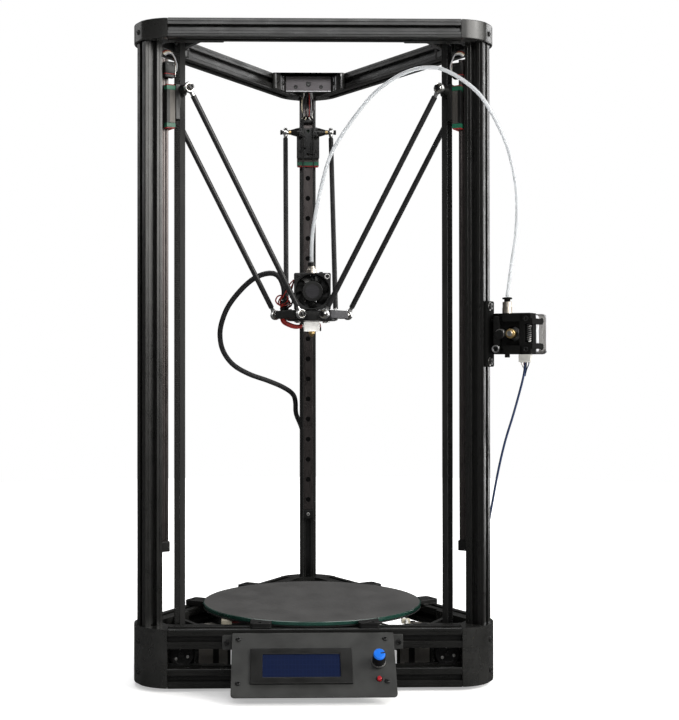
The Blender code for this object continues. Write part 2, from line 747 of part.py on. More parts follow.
def smooth_route(points, count):
    """Points evenly spread along the smooth curve through the route's own points."""
    points = [Vector(point) for point in points]
    padded = [2 * points[0] - points[1], *points, 2 * points[-1] - points[-2]]
    fine = []
    for p0, p1, p2, p3 in zip(padded, padded[1:], padded[2:], padded[3:]):
        for step in range(24):
            t = step / 24
            fine.append(
                0.5 * (2 * p1 + (p2 - p0) * t + (2 * p0 - 5 * p1 + 4 * p2 - p3) * t**2)
                + 0.5 * (3 * p1 - p0 - 3 * p2 + p3) * t**3
            )
    fine.append(points[-1])
    lengths = [0.0]
    for before, after in zip(fine, fine[1:]):
        lengths.append(lengths[-1] + (after - before).length)
    spread = []
    index = 0
    for number in range(count):
        target = lengths[-1] * number / (count - 1)
        while index < len(fine) - 2 and lengths[index + 1] < target:
            index += 1
        share = (target - lengths[index]) / (lengths[index + 1] - lengths[index])
        spread.append(fine[index].lerp(fine[index + 1], share))
    return spread


def tube(name, route, radius, count, sides_level, look, parent):
    curve = bpy.data.curves.new(name, "CURVE")
    curve.dimensions = "3D"
    curve.bevel_depth = radius * MM
    curve.bevel_resolution = sides_level
    curve.use_fill_caps = True
    spline = curve.splines.new("POLY")
    points = smooth_route(route, count)
    spline.points.add(len(points) - 1)
    for target, point in zip(spline.points, points):
        target.co = (*(point * MM), 1)
    curve.materials.append(look)
    made = bpy.data.objects.new(name, curve)
    bpy.context.scene.collection.objects.link(made)
    made.parent = parent
    return made


def build_cords(axis, looks):
    tube("bowden_tube", BOWDEN_ROUTE, 2, 60, 2, looks["tube"], axis)
    tube("wire_loom", LOOM_ROUTE, 3, 44, 2, looks["rubber"], axis)
    tube("extruder_lead", LEAD_ROUTE, 1.2, 40, 2, looks["rubber"], axis)


# ---------------------------------------------------------------- the whole machine


def all_looks():
    return {
        "anodised": material("black_anodised", (0.02, 0.02, 0.021), 0.38, 0.7),
        "bracket": material("bracket_plastic", (0.035, 0.035, 0.036), 0.5, 0.0),
        "rail": material("dark_rail_steel", (0.06, 0.055, 0.055), 0.35, 0.8),
        "black": material("black_plastic", (0.015, 0.015, 0.016), 0.45, 0.0),
        "dark_metal": material("dark_painted_metal", (0.05, 0.05, 0.055), 0.4, 0.6),
        "rod": material("carbon_rod", (0.012, 0.012, 0.013), 0.3, 0.0),
        "rubber": material("black_rubber", (0.012, 0.012, 0.012), 0.7, 0.0),
        "steel": material("bright_steel", (0.55, 0.55, 0.56), 0.3, 1.0),
        "brass": material("brass", (0.65, 0.45, 0.18), 0.3, 1.0),
        "plate": material("dark_build_plate", (0.045, 0.05, 0.05), 0.55, 0.0),
        "panel": material("panel_powder_coat", (0.04, 0.042, 0.045), 0.55, 0.0),
        "blue": material("blue_knob", (0.02, 0.12, 0.55), 0.35, 0.0),
        "red": material("red_button", (0.5, 0.02, 0.02), 0.4, 0.0),
        "tube": material("translucent_tube", (0.8, 0.8, 0.8), 0.25, 0.0),
    }


def main():
    for item in list(bpy.data.objects):
        bpy.data.objects.remove(item)
    looks = all_looks()
    axis = empty("machine_axis", None, (AXIS_X, AXIS_Y, FOOT_HEIGHT))
    towers, sides = {}, {}
    for frames, kind, angles in ((towers, "tower", TOWERS), (sides, "side", SIDES)):
        for name, angle in angles.items():
            frames[name] = empty(f"{kind}_{name}_frame", axis, rotation=(0, 0, angle - 90))
    build_frame(towers, sides, looks)
    build_motion(towers, looks)
    build_drives(towers, looks)
    build_head(axis, looks)
    build_bed(axis, looks)
    build_filament_drive(towers["b"], looks)
    build_panel(axis, looks)
    build_cords(axis, looks)


main()
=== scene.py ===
"""A delta 3D printer in its finished looks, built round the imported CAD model.

Sizes are millimetres in the CAD's own frames: the machine axis, a tower with +Y pointing
outwards, a side of the triangle with +Y pointing outwards, and the tilted control panel.
"""

import math

import bmesh
import bpy
from mathutils import Matrix, Vector


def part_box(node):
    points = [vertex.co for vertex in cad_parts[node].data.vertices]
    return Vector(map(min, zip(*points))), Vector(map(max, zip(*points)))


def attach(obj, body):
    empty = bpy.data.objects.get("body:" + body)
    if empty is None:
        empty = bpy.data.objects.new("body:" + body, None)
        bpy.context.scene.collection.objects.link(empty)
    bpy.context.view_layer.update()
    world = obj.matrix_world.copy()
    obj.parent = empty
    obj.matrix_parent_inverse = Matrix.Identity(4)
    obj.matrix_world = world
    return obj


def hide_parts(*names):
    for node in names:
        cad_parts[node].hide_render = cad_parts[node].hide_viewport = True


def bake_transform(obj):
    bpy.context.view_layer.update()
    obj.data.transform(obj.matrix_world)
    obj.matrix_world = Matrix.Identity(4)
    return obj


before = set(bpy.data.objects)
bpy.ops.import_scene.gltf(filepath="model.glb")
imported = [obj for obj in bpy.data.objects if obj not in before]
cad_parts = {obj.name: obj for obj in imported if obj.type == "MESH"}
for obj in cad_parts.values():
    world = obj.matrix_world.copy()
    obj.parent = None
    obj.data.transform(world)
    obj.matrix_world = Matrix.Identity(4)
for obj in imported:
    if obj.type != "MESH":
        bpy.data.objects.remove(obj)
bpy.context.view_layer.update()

# ---------------------------------------------------------------- frames

bed_low, bed_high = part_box("bed_glass")
BED_TOP = 66
MM = 0.001
AXIS = Matrix.Translation(
    ((bed_low.x + bed_high.x) / 2, (bed_low.y + bed_high.y) / 2, bed_high.z - BED_TOP * MM)
) @ Matrix.Scale(MM, 4)
TOWERS = {"a": 210, "b": 330, "c": 90}
SIDES = {"front": 270, "right": 30, "left": 150}


def shifted(x, y, z):
    return Matrix.Translation((x, y, z))


def spun(axis, degrees):
    return Matrix.Rotation(math.radians(degrees), 4, axis)


TOWER = {name: AXIS @ spun("Z", angle - 90) for name, angle in TOWERS.items()}
SIDE = {name: AXIS @ spun("Z", angle - 90) for name, angle in SIDES.items()}
PANEL_TOP, PANEL_TILT = (-2.5, -127.4, 56.7), 45
PANEL = AXIS @ shifted(*PANEL_TOP) @ spun("X", PANEL_TILT)
AHEAD = spun("X", 90)  # a shape made along Z then stands along -Y
BEHIND = spun("X", -90)  # and along +Y
ALONG_X = spun("Y", 90)

# ---------------------------------------------------------------- shapes, in millimetres


def circle(radius, count=32, centre=(0, 0), start=0.5):
    angles = [2 * math.pi * (i + start) / count for i in range(count)]
    return [(centre[0] + radius * math.cos(a), centre[1] + radius * math.sin(a)) for a in angles]


def polygon(apothem, sides, count=24):
    """A regular polygon as a loop of count points, at the same angles as circle's."""
    loop = []
    for i in range(count):
        angle = 2 * math.pi * (i + 0.5) / count
        off = (angle + math.pi / sides) % (2 * math.pi / sides) - math.pi / sides
        loop.append((apothem / math.cos(off) * math.cos(angle), apothem / math.cos(off) * math.sin(angle)))
    return loop


def hexagon(apothem):
    return polygon(apothem, 6)


def toothed(count, tip, root, period=4, roots=(2, 3)):
    """A round loop of count points. In each period, those numbered in roots lie at the root radius."""
    loop = []
    for i in range(count):
        angle, radius = 2 * math.pi * i / count, root if i % period in roots else tip
        loop.append((radius * math.cos(angle), radius * math.sin(angle)))
    return loop


def around(middle, half):
    return (middle - half, middle + half)


def rectangle(x_range, y_range, radius=0.0, segments=4):
    (x0, x1), (y0, y1) = x_range, y_range
    return rounded([(x0, y0, radius), (x1, y0, radius), (x1, y1, radius), (x0, y1, radius)], segments)


def rounded(corners, segments=4):
    """An outline whose (x, y, radius) corners are replaced by arcs."""
    outline = []
    for i, corner in enumerate(corners):
        here, radius = Vector(corner[:2]), corner[2] if len(corner) > 2 else 0
        if radius == 0:
            outline.append(tuple(here))
            continue
        before = (Vector(corners[i - 1][:2]) - here).normalized()
        after = (Vector(corners[(i + 1) % len(corners)][:2]) - here).normalized()
        half = before.angle(after) / 2
        centre = here + (before + after).normalized() * radius / math.sin(half)
        start = here + before * radius / math.tan(half) - centre
        sweep = start.angle_signed(here + after * radius / math.tan(half) - centre)
        for k in range(segments + 1):
            c, s = math.cos(-sweep * k / segments), math.sin(-sweep * k / segments)
            outline.append((centre.x + start.x * c - start.y * s, centre.y + start.x * s + start.y * c))
    return outline


def anticlockwise(loop):
    area = sum(a[0] * b[1] - b[0] * a[1] for a, b in zip(loop, loop[1:] + loop[:1]))
    return loop if area > 0 else loop[::-1]


def inset(loop, amount):
    """The anticlockwise loop moved inwards."""
    out = []
    for i, (x, y) in enumerate(loop):
        (ax, ay), (bx, by) = loop[i - 1], loop[(i + 1) % len(loop)]
        first, second = Vector((x - ax, y - ay)), Vector((bx - x, by - y))
        if first.length < 1e-6 or second.length < 1e-6:
            first = second = Vector((bx - ax, by - ay))
        first, second = first.normalized(), second.normalized()
        bend = Vector((-first.y - second.y, first.x + second.x)) / max(1 + first.dot(second), 0.35)
        out.append((x + bend.x * amount, y + bend.y * amount))
    return out


def band(bm, low, high):
    """The quads between two rings of the same length."""
    for i in range(len(low)):
        j = (i + 1) % len(low)
        bm.faces.new((low[i], low[j], high[j], high[i]))


def closed_up(bm):
    bmesh.ops.recalc_face_normals(bm, faces=bm.faces)
    return bm


def prism(outline, low, high, edge=0.0, holes=(), pockets=(), steps=2):
    """An outline extruded along Z, with round edges. A hole goes right through it, and a pocket
    is a (loop, floor height) that is open at the end further from its floor."""
    bm = bmesh.new()
    levels = [(0.0, low), (0.0, high)]
    if edge:
        turns = [math.pi / 2 * k / steps for k in range(steps + 1)]
        foot = [(edge * (1 - math.sin(t)), edge * (1 - math.cos(t))) for t in turns]
        levels = [(i, low + z) for i, z in foot] + [(i, high - z) for i, z in reversed(foot)]
    half = len(levels) // 2
    ends = ([], [])

    def wall(loop, heights, way):
        loop = anticlockwise(list(loop))
        rings = [[bm.verts.new((x, y, z)) for x, y in inset(loop, way * amount)] for amount, z in heights]
        for below, above in zip(rings, rings[1:]):
            band(bm, below, above)
        return rings[0], rings[-1]

    for number, loop in enumerate([outline, *holes]):
        for rings, ring in zip(ends, wall(loop, levels, -1 if number else 1)):
            rings.append(ring)
    for loop, floor in pockets:
        upward = abs(high - floor) < abs(floor - low)  # its floor is near the top, so it opens below
        heights = levels[:half] + [(0, floor)] if upward else [(0, floor)] + levels[half:]
        first, last = wall(loop, heights, -1)
        ends[0 if upward else 1].append(first if upward else last)
        bm.faces.new(last if upward else first)
    for loops, up in zip(ends, (-1, 1)):
        if len(loops) == 1:
            bm.faces.new(loops[0])
            continue
        edges = [bm.edges.get((r[i], r[(i + 1) % len(r)])) for r in loops for i in range(len(r))]
        bmesh.ops.triangle_fill(bm, use_beauty=True, edges=edges, normal=(0, 0, up))
    return closed_up(bm)


def loft(loops):
    """Loops of 3D points, all of one length, joined in turn and capped."""
    bm = bmesh.new()
    rings = [[bm.verts.new(point) for point in loop] for loop in loops]
    for below, above in zip(rings, rings[1:]):
        band(bm, below, above)
    bm.faces.new(rings[0])
    bm.faces.new(rings[-1])
    return closed_up(bm)


def stack(*levels):
    """Flat loops at their heights, joined in turn: stack((loop, z), ...)."""
    return loft([[(x, y, z) for x, y in loop] for loop, z in levels])


def lathe(profile, sides=32):
    """A profile of (radius, height, corner radius) turned about Z. Off the axis it closes on itself."""
    profile = [(*corner[:2], corner[2] if len(corner) > 2 else 0) for corner in profile]
    on_axis = profile[0][0] == 0
    profile = rounded(profile, 3)
    bm = bmesh.new()
    rings = []
    for radius, height in profile:
        loop = [(0, 0)] if radius < 1e-6 else circle(radius, sides)
        rings.append([bm.verts.new((x, y, height)) for x, y in loop])
    pairs = list(zip(rings, rings[1:])) + ([] if on_axis else [(rings[-1], rings[0])])
    for low, high in pairs:
        for i in range(sides):
            j = (i + 1) % sides
            corners = [low[i % len(low)], low[j % len(low)], high[j % len(high)], high[i % len(high)]]
            corners = list(dict.fromkeys(corners))
            if len(corners) > 2:
                bm.faces.new(corners)
    return closed_up(bm)


def disc(inner, outer, low, high, sides=32, foot=0.0, rim=0.0):
    """A disc, washer or collar round Z, its outer corners rounded by foot below and by rim above."""
    return lathe([(inner, low), (outer, low, foot), (outer, high, rim), (inner, high)], sides)


def slab(x_range, y_range, z_range, edge=0.5, segments=2):
    """A block with rounded edges."""
    bm = bmesh.new()
    bmesh.ops.create_cube(bm, size=1)
    for vert in bm.verts:
        for k, (low, high) in enumerate((x_range, y_range, z_range)):
            vert.co[k] = low if vert.co[k] < 0 else high
    if edge:
        bmesh.ops.bevel(bm, geom=bm.edges[:], offset=edge, segments=segments, profile=0.5, affect="EDGES")
    return closed_up(bm)


def evenly(points, count):
    """Points evenly spread along the smooth curve through the given ones."""
    points = [Vector(point) for point in points]
    padded = [2 * points[0] - points[1], *points, 2 * points[-1] - points[-2]]
    fine = []
    for p0, p1, p2, p3 in zip(padded, padded[1:], padded[2:], padded[3:]):
        for t in (step / 24 for step in range(24)):
            fine.append(
                0.5 * (2 * p1 + (p2 - p0) * t + (2 * p0 - 5 * p1 + 4 * p2 - p3) * t**2)
                + 0.5 * (3 * p1 - p0 - 3 * p2 + p3) * t**3
            )
    fine.append(points[-1])
    lengths = [0.0]
    for before, after in zip(fine, fine[1:]):
        lengths.append(lengths[-1] + (after - before).length)
    spread, index = [], 0
    for number in range(count):
        target = lengths[-1] * number / (count - 1)
        while index < len(fine) - 2 and lengths[index + 1] < target:
            index += 1
        share = (target - lengths[index]) / (lengths[index + 1] - lengths[index])
        spread.append(fine[index].lerp(fine[index + 1], share))
    return spread


def tube(points, radius, sides=10):
    """A round tube along the points. Its grain runs with it: x round it, y round it, z along it."""
    points = [Vector(point) for point in points]
    bm = bmesh.new()
    grain = bm.verts.layers.float_vector.new("grain")
    ahead = (points[1] - points[0]).normalized()
    side = ahead.orthogonal().normalized()
    rings, run = [], 0.0
    for i, point in enumerate(points):
        after = points[min(i + 1, len(points) - 1)] - points[max(i - 1, 0)]
        after.normalize()
        side = (ahead.rotation_difference(after) @ side).normalized()
        ahead = after
        run += (point - points[i - 1]).length if i else 0.0
        ring = []
        for k in range(sides):
            angle = 2 * math.pi * k / sides
            out = side * math.cos(angle) + ahead.cross(side) * math.sin(angle)
            vert = bm.verts.new(point + out * radius)
            vert[grain] = (math.cos(angle) * 3, math.sin(angle) * 3, run)
            ring.append(vert)
        rings.append(ring)
    for below, above in zip(rings, rings[1:]):
        band(bm, below, above)
    bm.faces.new(rings[0])
    bm.faces.new(rings[-1])
    return closed_up(bm)


def rod(radius, start, end, edge=0.3, sides=20):
    """A round bar with slightly rounded ends, from one point to another."""
    start, end = Vector(start), Vector(end)
    long = (end - start).length
    bm = lathe([(0, 0), (radius, 0, edge), (radius, long, edge), (0, long)], sides)
    bm.transform(Matrix.Translation(start) @ (end - start).to_track_quat("Z", "Y").to_matrix().to_4x4())
    return bm


def socket_screw(radius=2.75, height=3.0, key=1.25, depth=1.4):
    """A cap screw's head, standing on z = 0, with its hexagon socket."""
    rim = 0.35
    return stack(
        (circle(radius, 24), 0), (circle(radius, 24), height - rim),
        (circle(radius - rim * 0.4, 24), height - rim * 0.2), (circle(radius - rim, 24), height),
        (hexagon(key + 0.15), height), (hexagon(key), height - 0.15), (hexagon(key), height - depth),
    )


def button_screw(radius=2.7, height=1.6, key=1.0):
    """A domed screw head with a hexagon socket, standing on z = 0."""
    dome = ((0.97, 0), (1, 0.25), (0.93, height * 0.55), (0.75, height * 0.88), (0.55, height))
    dome = [(circle(radius * share, 24), z) for share, z in dome]
    return stack(*dome, (hexagon(key), height), (hexagon(key), height - 1))


def nut(apothem=2.7, height=2.4, bore=1.4):
    """A hexagon nut with chamfered corners, standing on z = 0."""
    bm = bmesh.new()
    hole, face, flats, chamfer = circle(bore, 24), circle(apothem * 0.98, 24), hexagon(apothem), 0.3
    levels = [(hole, 0), (face, 0), (flats, chamfer)]
    levels += [(flats, height - chamfer), (face, height), (hole, height)]
    rings = [[bm.verts.new((x, y, z)) for x, y in loop] for loop, z in levels]
    for below, above in zip(rings, rings[1:] + rings[:1]):
        band(bm, below, above)
    return closed_up(bm)


# ---------------------------------------------------------------- pieces


class Piece:
    """Shapes gathered in one frame, each with its look, that become one object."""

    def __init__(self, name, place, body="frame"):
        self.name, self.place, self.body = name, place, body
        self.bm = bmesh.new()
        self.grain = self.bm.verts.layers.float_vector.new("grain")
        self.looks = []

    def add(self, shape, look, *moves):
        """Adds a copy of the shape, moved by each matrix in turn."""
        if look not in self.looks:
            self.looks.append(look)
        move = Matrix.Identity(4)
        for step in moves:
            move = move @ step
        verts, faces = len(self.bm.verts), len(self.bm.faces)
        copied = bpy.data.meshes.new("copied")
        shape.to_mesh(copied)
        self.bm.from_mesh(copied)
        bpy.data.meshes.remove(copied)
        self.bm.verts.ensure_lookup_table()
        self.bm.faces.ensure_lookup_table()
        new = self.bm.verts[verts:]
        bmesh.ops.transform(self.bm, matrix=move, verts=new)
        for face in self.bm.faces[faces:]:
            face.material_index = self.looks.index(look)
        if "grain" not in shape.verts.layers.float_vector:
            for vert in new:
                vert[self.grain] = vert.co
        return self

    def done(self, slot, *replaced, smooth=32, weighted=True):
        """Makes the object, moves it into the row frame and gives it its body."""
        mesh = bpy.data.meshes.new(self.name)
        self.bm.transform(self.place)
        self.bm.to_mesh(mesh)
        self.bm.free()
        for look in self.looks:
            mesh.materials.append(LOOKS[look])
        mesh.shade_smooth()
        mesh.set_sharp_from_angle(angle=math.radians(smooth))
        made = bpy.data.objects.new(self.name, mesh)
        bpy.context.scene.collection.objects.link(made)
        if weighted:
            normals = made.modifiers.new("normals", "WEIGHTED_NORMAL")
            normals.keep_sharp = True
        if self.body:
            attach(made, self.body)
        if replaced:
            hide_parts(*replaced)
        return made

# ---------------------------------------------------------------- looks


class Nodes:
    """A material's node tree, with a socket-by-socket way to build it."""

    def __init__(self, name):
        self.material = bpy.data.materials.new(name)
        self.material.use_nodes = True
        self.tree = self.material.node_tree
        self.shader = self.tree.nodes["Principled BSDF"]
        grain = self.tree.nodes.new("ShaderNodeAttribute")
        grain.attribute_name = "grain"
        self.grain = grain.outputs["Vector"]

    def make(self, kind, inputs=None, **settings):
        node = self.tree.nodes.new("ShaderNode" + kind)
        for name, value in settings.items():
            setattr(node, name, value)
        for key, value in (inputs or {}).items():
            if isinstance(value, bpy.types.NodeSocket):
                self.tree.links.new(value, node.inputs[key])
            else:
                node.inputs[key].default_value = value
        return node

    def compute(self, operation, *values):
        return self.make("Math", dict(enumerate(values)), operation=operation).outputs[0]

    def set(self, **values):
        for key, value in values.items():
            socket = self.shader.inputs[key.replace("_", " ")]
            if isinstance(value, bpy.types.NodeSocket):
                self.tree.links.new(value, socket)
            else:
                socket.default_value = (*value, 1) if isinstance(value, tuple) else value
        return self

    def noise(self, scale, detail=2.0, stretch=(1, 1, 1), rough=0.5):
        """Noise in millimetres of the piece's own frame; stretch gives how long it runs each way."""
        squeezed = self.make("Mapping", {"Vector": self.grain, "Scale": [1 / s for s in stretch]})
        made = self.make(
            "TexNoise",
            {"Vector": squeezed.outputs[0], "Scale": scale, "Detail": detail, "Roughness": rough},
        )
        return made.outputs[0]

    def between(self, factor, low, high, start=0.3, end=0.7):
        """The factor's range from start to end, spread from low to high."""
        ranged = self.make("MapRange", {0: factor, 1: start, 2: end, 3: low, 4: high})
        return ranged.outputs[0]

    def colours(self, factor, first, second, start=0.35, end=0.65):
        ramp = self.make("ValToRGB", {0: factor})
        ends = ramp.color_ramp.elements
        ends[0].position, ends[1].position = start, end
        ends[0].color, ends[1].color = (*first, 1), (*second, 1)
        return ramp.outputs[0]

    def bump(self, height, strength, distance=0.0002):
        made = self.make("Bump", {"Height": height, "Strength": strength, "Distance": distance})
        self.set(Normal=made.outputs[0])
        return self


def tinted(colour, share):
    return tuple(min(1.0, c * share) for c in colour)


def drawn(name, colour, rough, metal, along=(1, 1, 90), level=0.5, bump=0.06, spread=0.08):
    """Metal that was drawn or extruded: fine lines that run one way."""
    n = Nodes(name)
    lines = n.noise(3.2, 3, along)
    patches = n.noise(0.05, 2)
    n.set(
        Base_Color=n.colours(lines, tinted(colour, 0.82), tinted(colour, 1.18)),
        Roughness=n.between(n.compute("ADD", lines, patches), rough - spread, rough + spread, 0.7, 1.3),
        Metallic=metal, Specular_IOR_Level=level,
    )
    return n.bump(lines, bump).material


def moulded(name, colour, rough, level=0.5, size=2.2, bump=0.25):
    """Moulded plastic or a sprayed coat: a fine even grain, and slow patches of wear."""
    n = Nodes(name)
    pits = n.noise(size, 2)
    patches = n.noise(0.04, 3)
    n.set(
        Base_Color=n.colours(patches, tinted(colour, 0.8), tinted(colour, 1.2)),
        Roughness=n.between(patches, rough - 0.06, rough + 0.06),
        Specular_IOR_Level=level,
    )
    return n.bump(pits, bump, 0.0001).material


def machined(name, colour, rough):
    """Bare turned or milled metal: tool marks and slightly uneven polish."""
    n = Nodes(name)
    marks = n.noise(5.0, 2, (1, 1, 8))
    stains = n.noise(0.25, 4)
    n.set(
        Base_Color=n.colours(stains, tinted(colour, 0.86), tinted(colour, 1.08)),
        Roughness=n.between(stains, rough - 0.07, rough + 0.09),
        Metallic=1.0,
    )
    return n.bump(marks, 0.08, 0.0001).material


def insulated(name, colour):
    """Thin wire insulation: smooth and softly glossy, a little uneven along its length."""
    n = Nodes(name)
    waves = n.noise(0.35, 2)
    n.set(
        Base_Color=n.colours(waves, tinted(colour, 0.85), tinted(colour, 1.12)),
        Roughness=n.between(waves, 0.32, 0.45), Specular_IOR_Level=0.4,
    )
    return n.bump(waves, 0.1, 0.0002).material


def braided(name, colour):
    """A braided sleeve: two sets of strands that wind round it opposite ways."""
    n = Nodes(name)
    parts = n.make("SeparateXYZ", {0: n.grain})
    angle = n.compute("ARCTAN2", parts.outputs[1], parts.outputs[0])
    waves = []
    for way in (8, -8):
        turn = n.compute("MULTIPLY", angle, way)
        run = n.compute("MULTIPLY", parts.outputs[2], 4.2)
        waves.append(n.compute("SINE", n.compute("ADD", turn, run)))
    weave = n.compute("MAXIMUM", *waves)
    # painted shade: the colour is darker in the gaps between the strands and lighter on their crowns
    n.set(
        Base_Color=n.colours(weave, tinted(colour, 0.4), tinted(colour, 1.3), 0.1, 0.9),
        Roughness=n.between(weave, 0.7, 0.45, 0.0, 1.0), Specular_IOR_Level=0.4,
    )
    return n.bump(weave, 0.5, 0.0003).material


def coated_glass(name, colour):
    """The dark printing surface: a matt pattern of tiny dots, and faint marks of use."""
    n = Nodes(name)
    cells = n.make("TexVoronoi", {"Vector": n.grain, "Scale": 0.8}, feature="F1").outputs[0]
    marks = n.noise(0.03, 4, (1, 1.6, 1))
    n.set(
        Base_Color=n.colours(marks, tinted(colour, 0.88), tinted(colour, 1.12)),
        Roughness=n.between(marks, 0.5, 0.62), Specular_IOR_Level=0.45,
    )
    return n.bump(cells, 0.25, 0.0002).material


def clear_tube(name):
    n = Nodes(name)
    haze = n.noise(0.03, 1)
    n.set(
        Base_Color=n.colours(haze, (0.70, 0.72, 0.74), (0.80, 0.82, 0.84)),
        Roughness=n.between(haze, 0.22, 0.30), Transmission_Weight=0.45, IOR=1.35,
    )
    return n.bump(haze, 0.03, 0.0001).material


def display(name):
    """An unlit blue display: a faint grid of dark character cells behind glass."""
    n = Nodes(name)
    parts = n.make("SeparateXYZ", {0: n.grain})
    grids = []
    for axis, step in ((0, 3.55), (1, 5.35)):
        run = n.compute("MULTIPLY", parts.outputs[axis], 2 * math.pi / step)
        grids.append(n.between(n.compute("COSINE", run), 1.0, 0.0, 0.75, 0.9))
    cells = n.compute("MULTIPLY", *grids)
    n.set(
        Base_Color=n.colours(cells, (0.0065, 0.012, 0.040), (0.0055, 0.010, 0.034), 0.2, 0.8),
        Roughness=n.between(n.noise(0.08, 2), 0.12, 0.2), Specular_IOR_Level=0.4,
    )
    return n.material


BLACK, NEAR_BLACK = (0.0042, 0.0042, 0.004), (0.006, 0.006, 0.0057)
LOOKS = {
    "anodised": drawn("anodised_extrusion", (0.0065, 0.0065, 0.006), 0.31, 0.0, (1, 1, 90), 0.5),
    "anodised_flat": drawn("anodised_beam", (0.0065, 0.0065, 0.006), 0.31, 0.0, (90, 1, 1), 0.5),
    "bracket": moulded("bracket_plastic", (0.0135, 0.0135, 0.0128), 0.27, 0.5),
    "bracket_metal": drawn("bracket_plate", (0.085, 0.078, 0.082), 0.42, 0.6, (60, 1, 1), 0.4),
    "rail": drawn("rail_steel", (0.075, 0.066, 0.064), 0.3, 0.85, (1, 1, 60), 0.5),
    # painted shade: near-black and barely reflecting, for holes, slits, mouths and the case's inside,
    # standing in for the shade in them
    "painted_shade": moulded("painted_shade_black", (0.002, 0.002, 0.002), 0.8, 0.05),
    "steel": machined("bright_steel", (0.70, 0.69, 0.67), 0.34),
    "chrome": machined("polished_steel", (0.85, 0.85, 0.84), 0.3),
    "black_steel": drawn("black_screw", (0.016, 0.016, 0.016), 0.32, 0.4, (1, 1, 4), 0.5),
    "alloy": machined("turned_alloy", (0.66, 0.66, 0.67), 0.3),
    "cast_alloy": machined("cast_alloy", (0.48, 0.48, 0.49), 0.36),
    "nickel": machined("nickel_fitting", (0.78, 0.72, 0.64), 0.36),
    "brass": machined("brass_part", (0.86, 0.62, 0.28), 0.38),
    "block_steel": drawn("bearing_block", (0.075, 0.07, 0.064), 0.48, 0.6, (1, 1, 30), 0.4),
    "black": moulded("black_plastic", BLACK, 0.42, 0.35),
    "matt": moulded("matt_plastic", BLACK, 0.85, 0.08),
    "black_paint": moulded("black_sprayed", NEAR_BLACK, 0.36, 0.4, 3.0, 0.15),
    "dark_metal": drawn("dark_anodised", (0.030, 0.029, 0.032), 0.4, 0.5, (30, 1, 1), 0.4),
    "carbon": drawn("carbon_tube", (0.011, 0.011, 0.0115), 0.36, 0.0, (1, 1, 60), 0.5, 0.12),
    "green": moulded("green_end_cap", (0.006, 0.075, 0.040), 0.4, 0.4),
    "red_seal": moulded("red_seal", (0.20, 0.012, 0.012), 0.5, 0.4),
    "belt": moulded("belt_rubber", (0.008, 0.008, 0.0077), 0.6, 0.3, 1.2, 0.4),
    "rubber": moulded("black_rubber", (0.012, 0.012, 0.012), 0.75, 0.3, 1.5, 0.4),
    "plate": coated_glass("build_surface", (0.052, 0.051, 0.050)),
    "glass_edge": moulded("green_glass_edge", (0.012, 0.045, 0.034), 0.16, 0.6, 0.3, 0.05),
    "board": moulded("circuit_board", (0.004, 0.030, 0.018), 0.35, 0.5, 0.6, 0.2),
    "board_black": moulded("heater_board", (0.010, 0.010, 0.010), 0.45, 0.4, 0.8, 0.2),
    "panel": moulded("panel_powder_coat", (0.024, 0.0245, 0.0235), 0.5, 0.4, 1.3, 0.55),
    "display": display("display_window"),
    "blue": moulded("blue_cap", (0.006, 0.13, 0.60), 0.3, 0.5, 3.0, 0.1),
    "red": moulded("red_cap", (0.30, 0.012, 0.018), 0.32, 0.5, 3.0, 0.1),
    "white": moulded("white_nylon", (0.72, 0.71, 0.67), 0.45, 0.4, 2.0, 0.15),
    "cream": moulded("cream_nylon", (0.50, 0.46, 0.36), 0.5, 0.4, 2.0, 0.15),
    "tape": moulded("insulation", (0.82, 0.81, 0.78), 0.55, 0.3, 0.9, 0.5),
    "winding": drawn("steel_laminations", (0.17, 0.16, 0.145), 0.5, 0.5, (8, 0.3, 8), 0.4, 0.8),
    "winding_across": drawn("motor_laminations", (0.12, 0.115, 0.11), 0.45, 0.6, (0.3, 8, 8), 0.4, 0.8),
    "loom": braided("braided_sleeve", (0.014, 0.014, 0.015)),
    "tube": clear_tube("clear_fluoropolymer"),
    "wire_white": insulated("white_wire", (0.66, 0.65, 0.62)),
    "wire_grey": insulated("grey_wire", (0.25, 0.25, 0.26)),
    "wire_red": insulated("red_wire", (0.22, 0.014, 0.010)),
    "wire_dark": insulated("dark_wire", (0.012, 0.012, 0.013)),
    "wire_blue": insulated("blue_wire", (0.010, 0.022, 0.065)),
    "wire_cream": insulated("cream_wire", (0.55, 0.48, 0.33)),
}

# ---------------------------------------------------------------- camera, light and floor


def spot(x, y, z):
    return AXIS @ Vector((x, y, z))


def softbox(name, place, aim, width, height, power, colour=(1, 1, 1)):
    """A rectangular light, placed and aimed in millimetres, its width and height in metres."""
    light = bpy.data.lights.new(name, "AREA")
    light.shape, light.size, light.size_y = "RECTANGLE", width, height
    light.energy, light.color = power, colour
    made = bpy.data.objects.new(name, light)
    bpy.context.scene.collection.objects.link(made)
    made.location = spot(*place)
    made.rotation_euler = (spot(*aim) - made.location).to_track_quat("-Z", "Y").to_euler()
    made.visible_camera = False


def set_camera():
    lens = bpy.data.cameras.new("camera")
    lens.lens, lens.sensor_width = 65.55, 36
    lens.shift_x, lens.shift_y = 0.0468, -0.0219
    lens.clip_start, lens.clip_end = 0.05, 50
    camera = bpy.data.objects.new("camera", lens)
    camera.location = spot(-38.1, -1454.5, 337.6)
    camera.rotation_euler = [math.radians(a) for a in (90.46, 0.04, -1.24)]
    bpy.context.scene.collection.objects.link(camera)
    bpy.context.scene.camera = camera


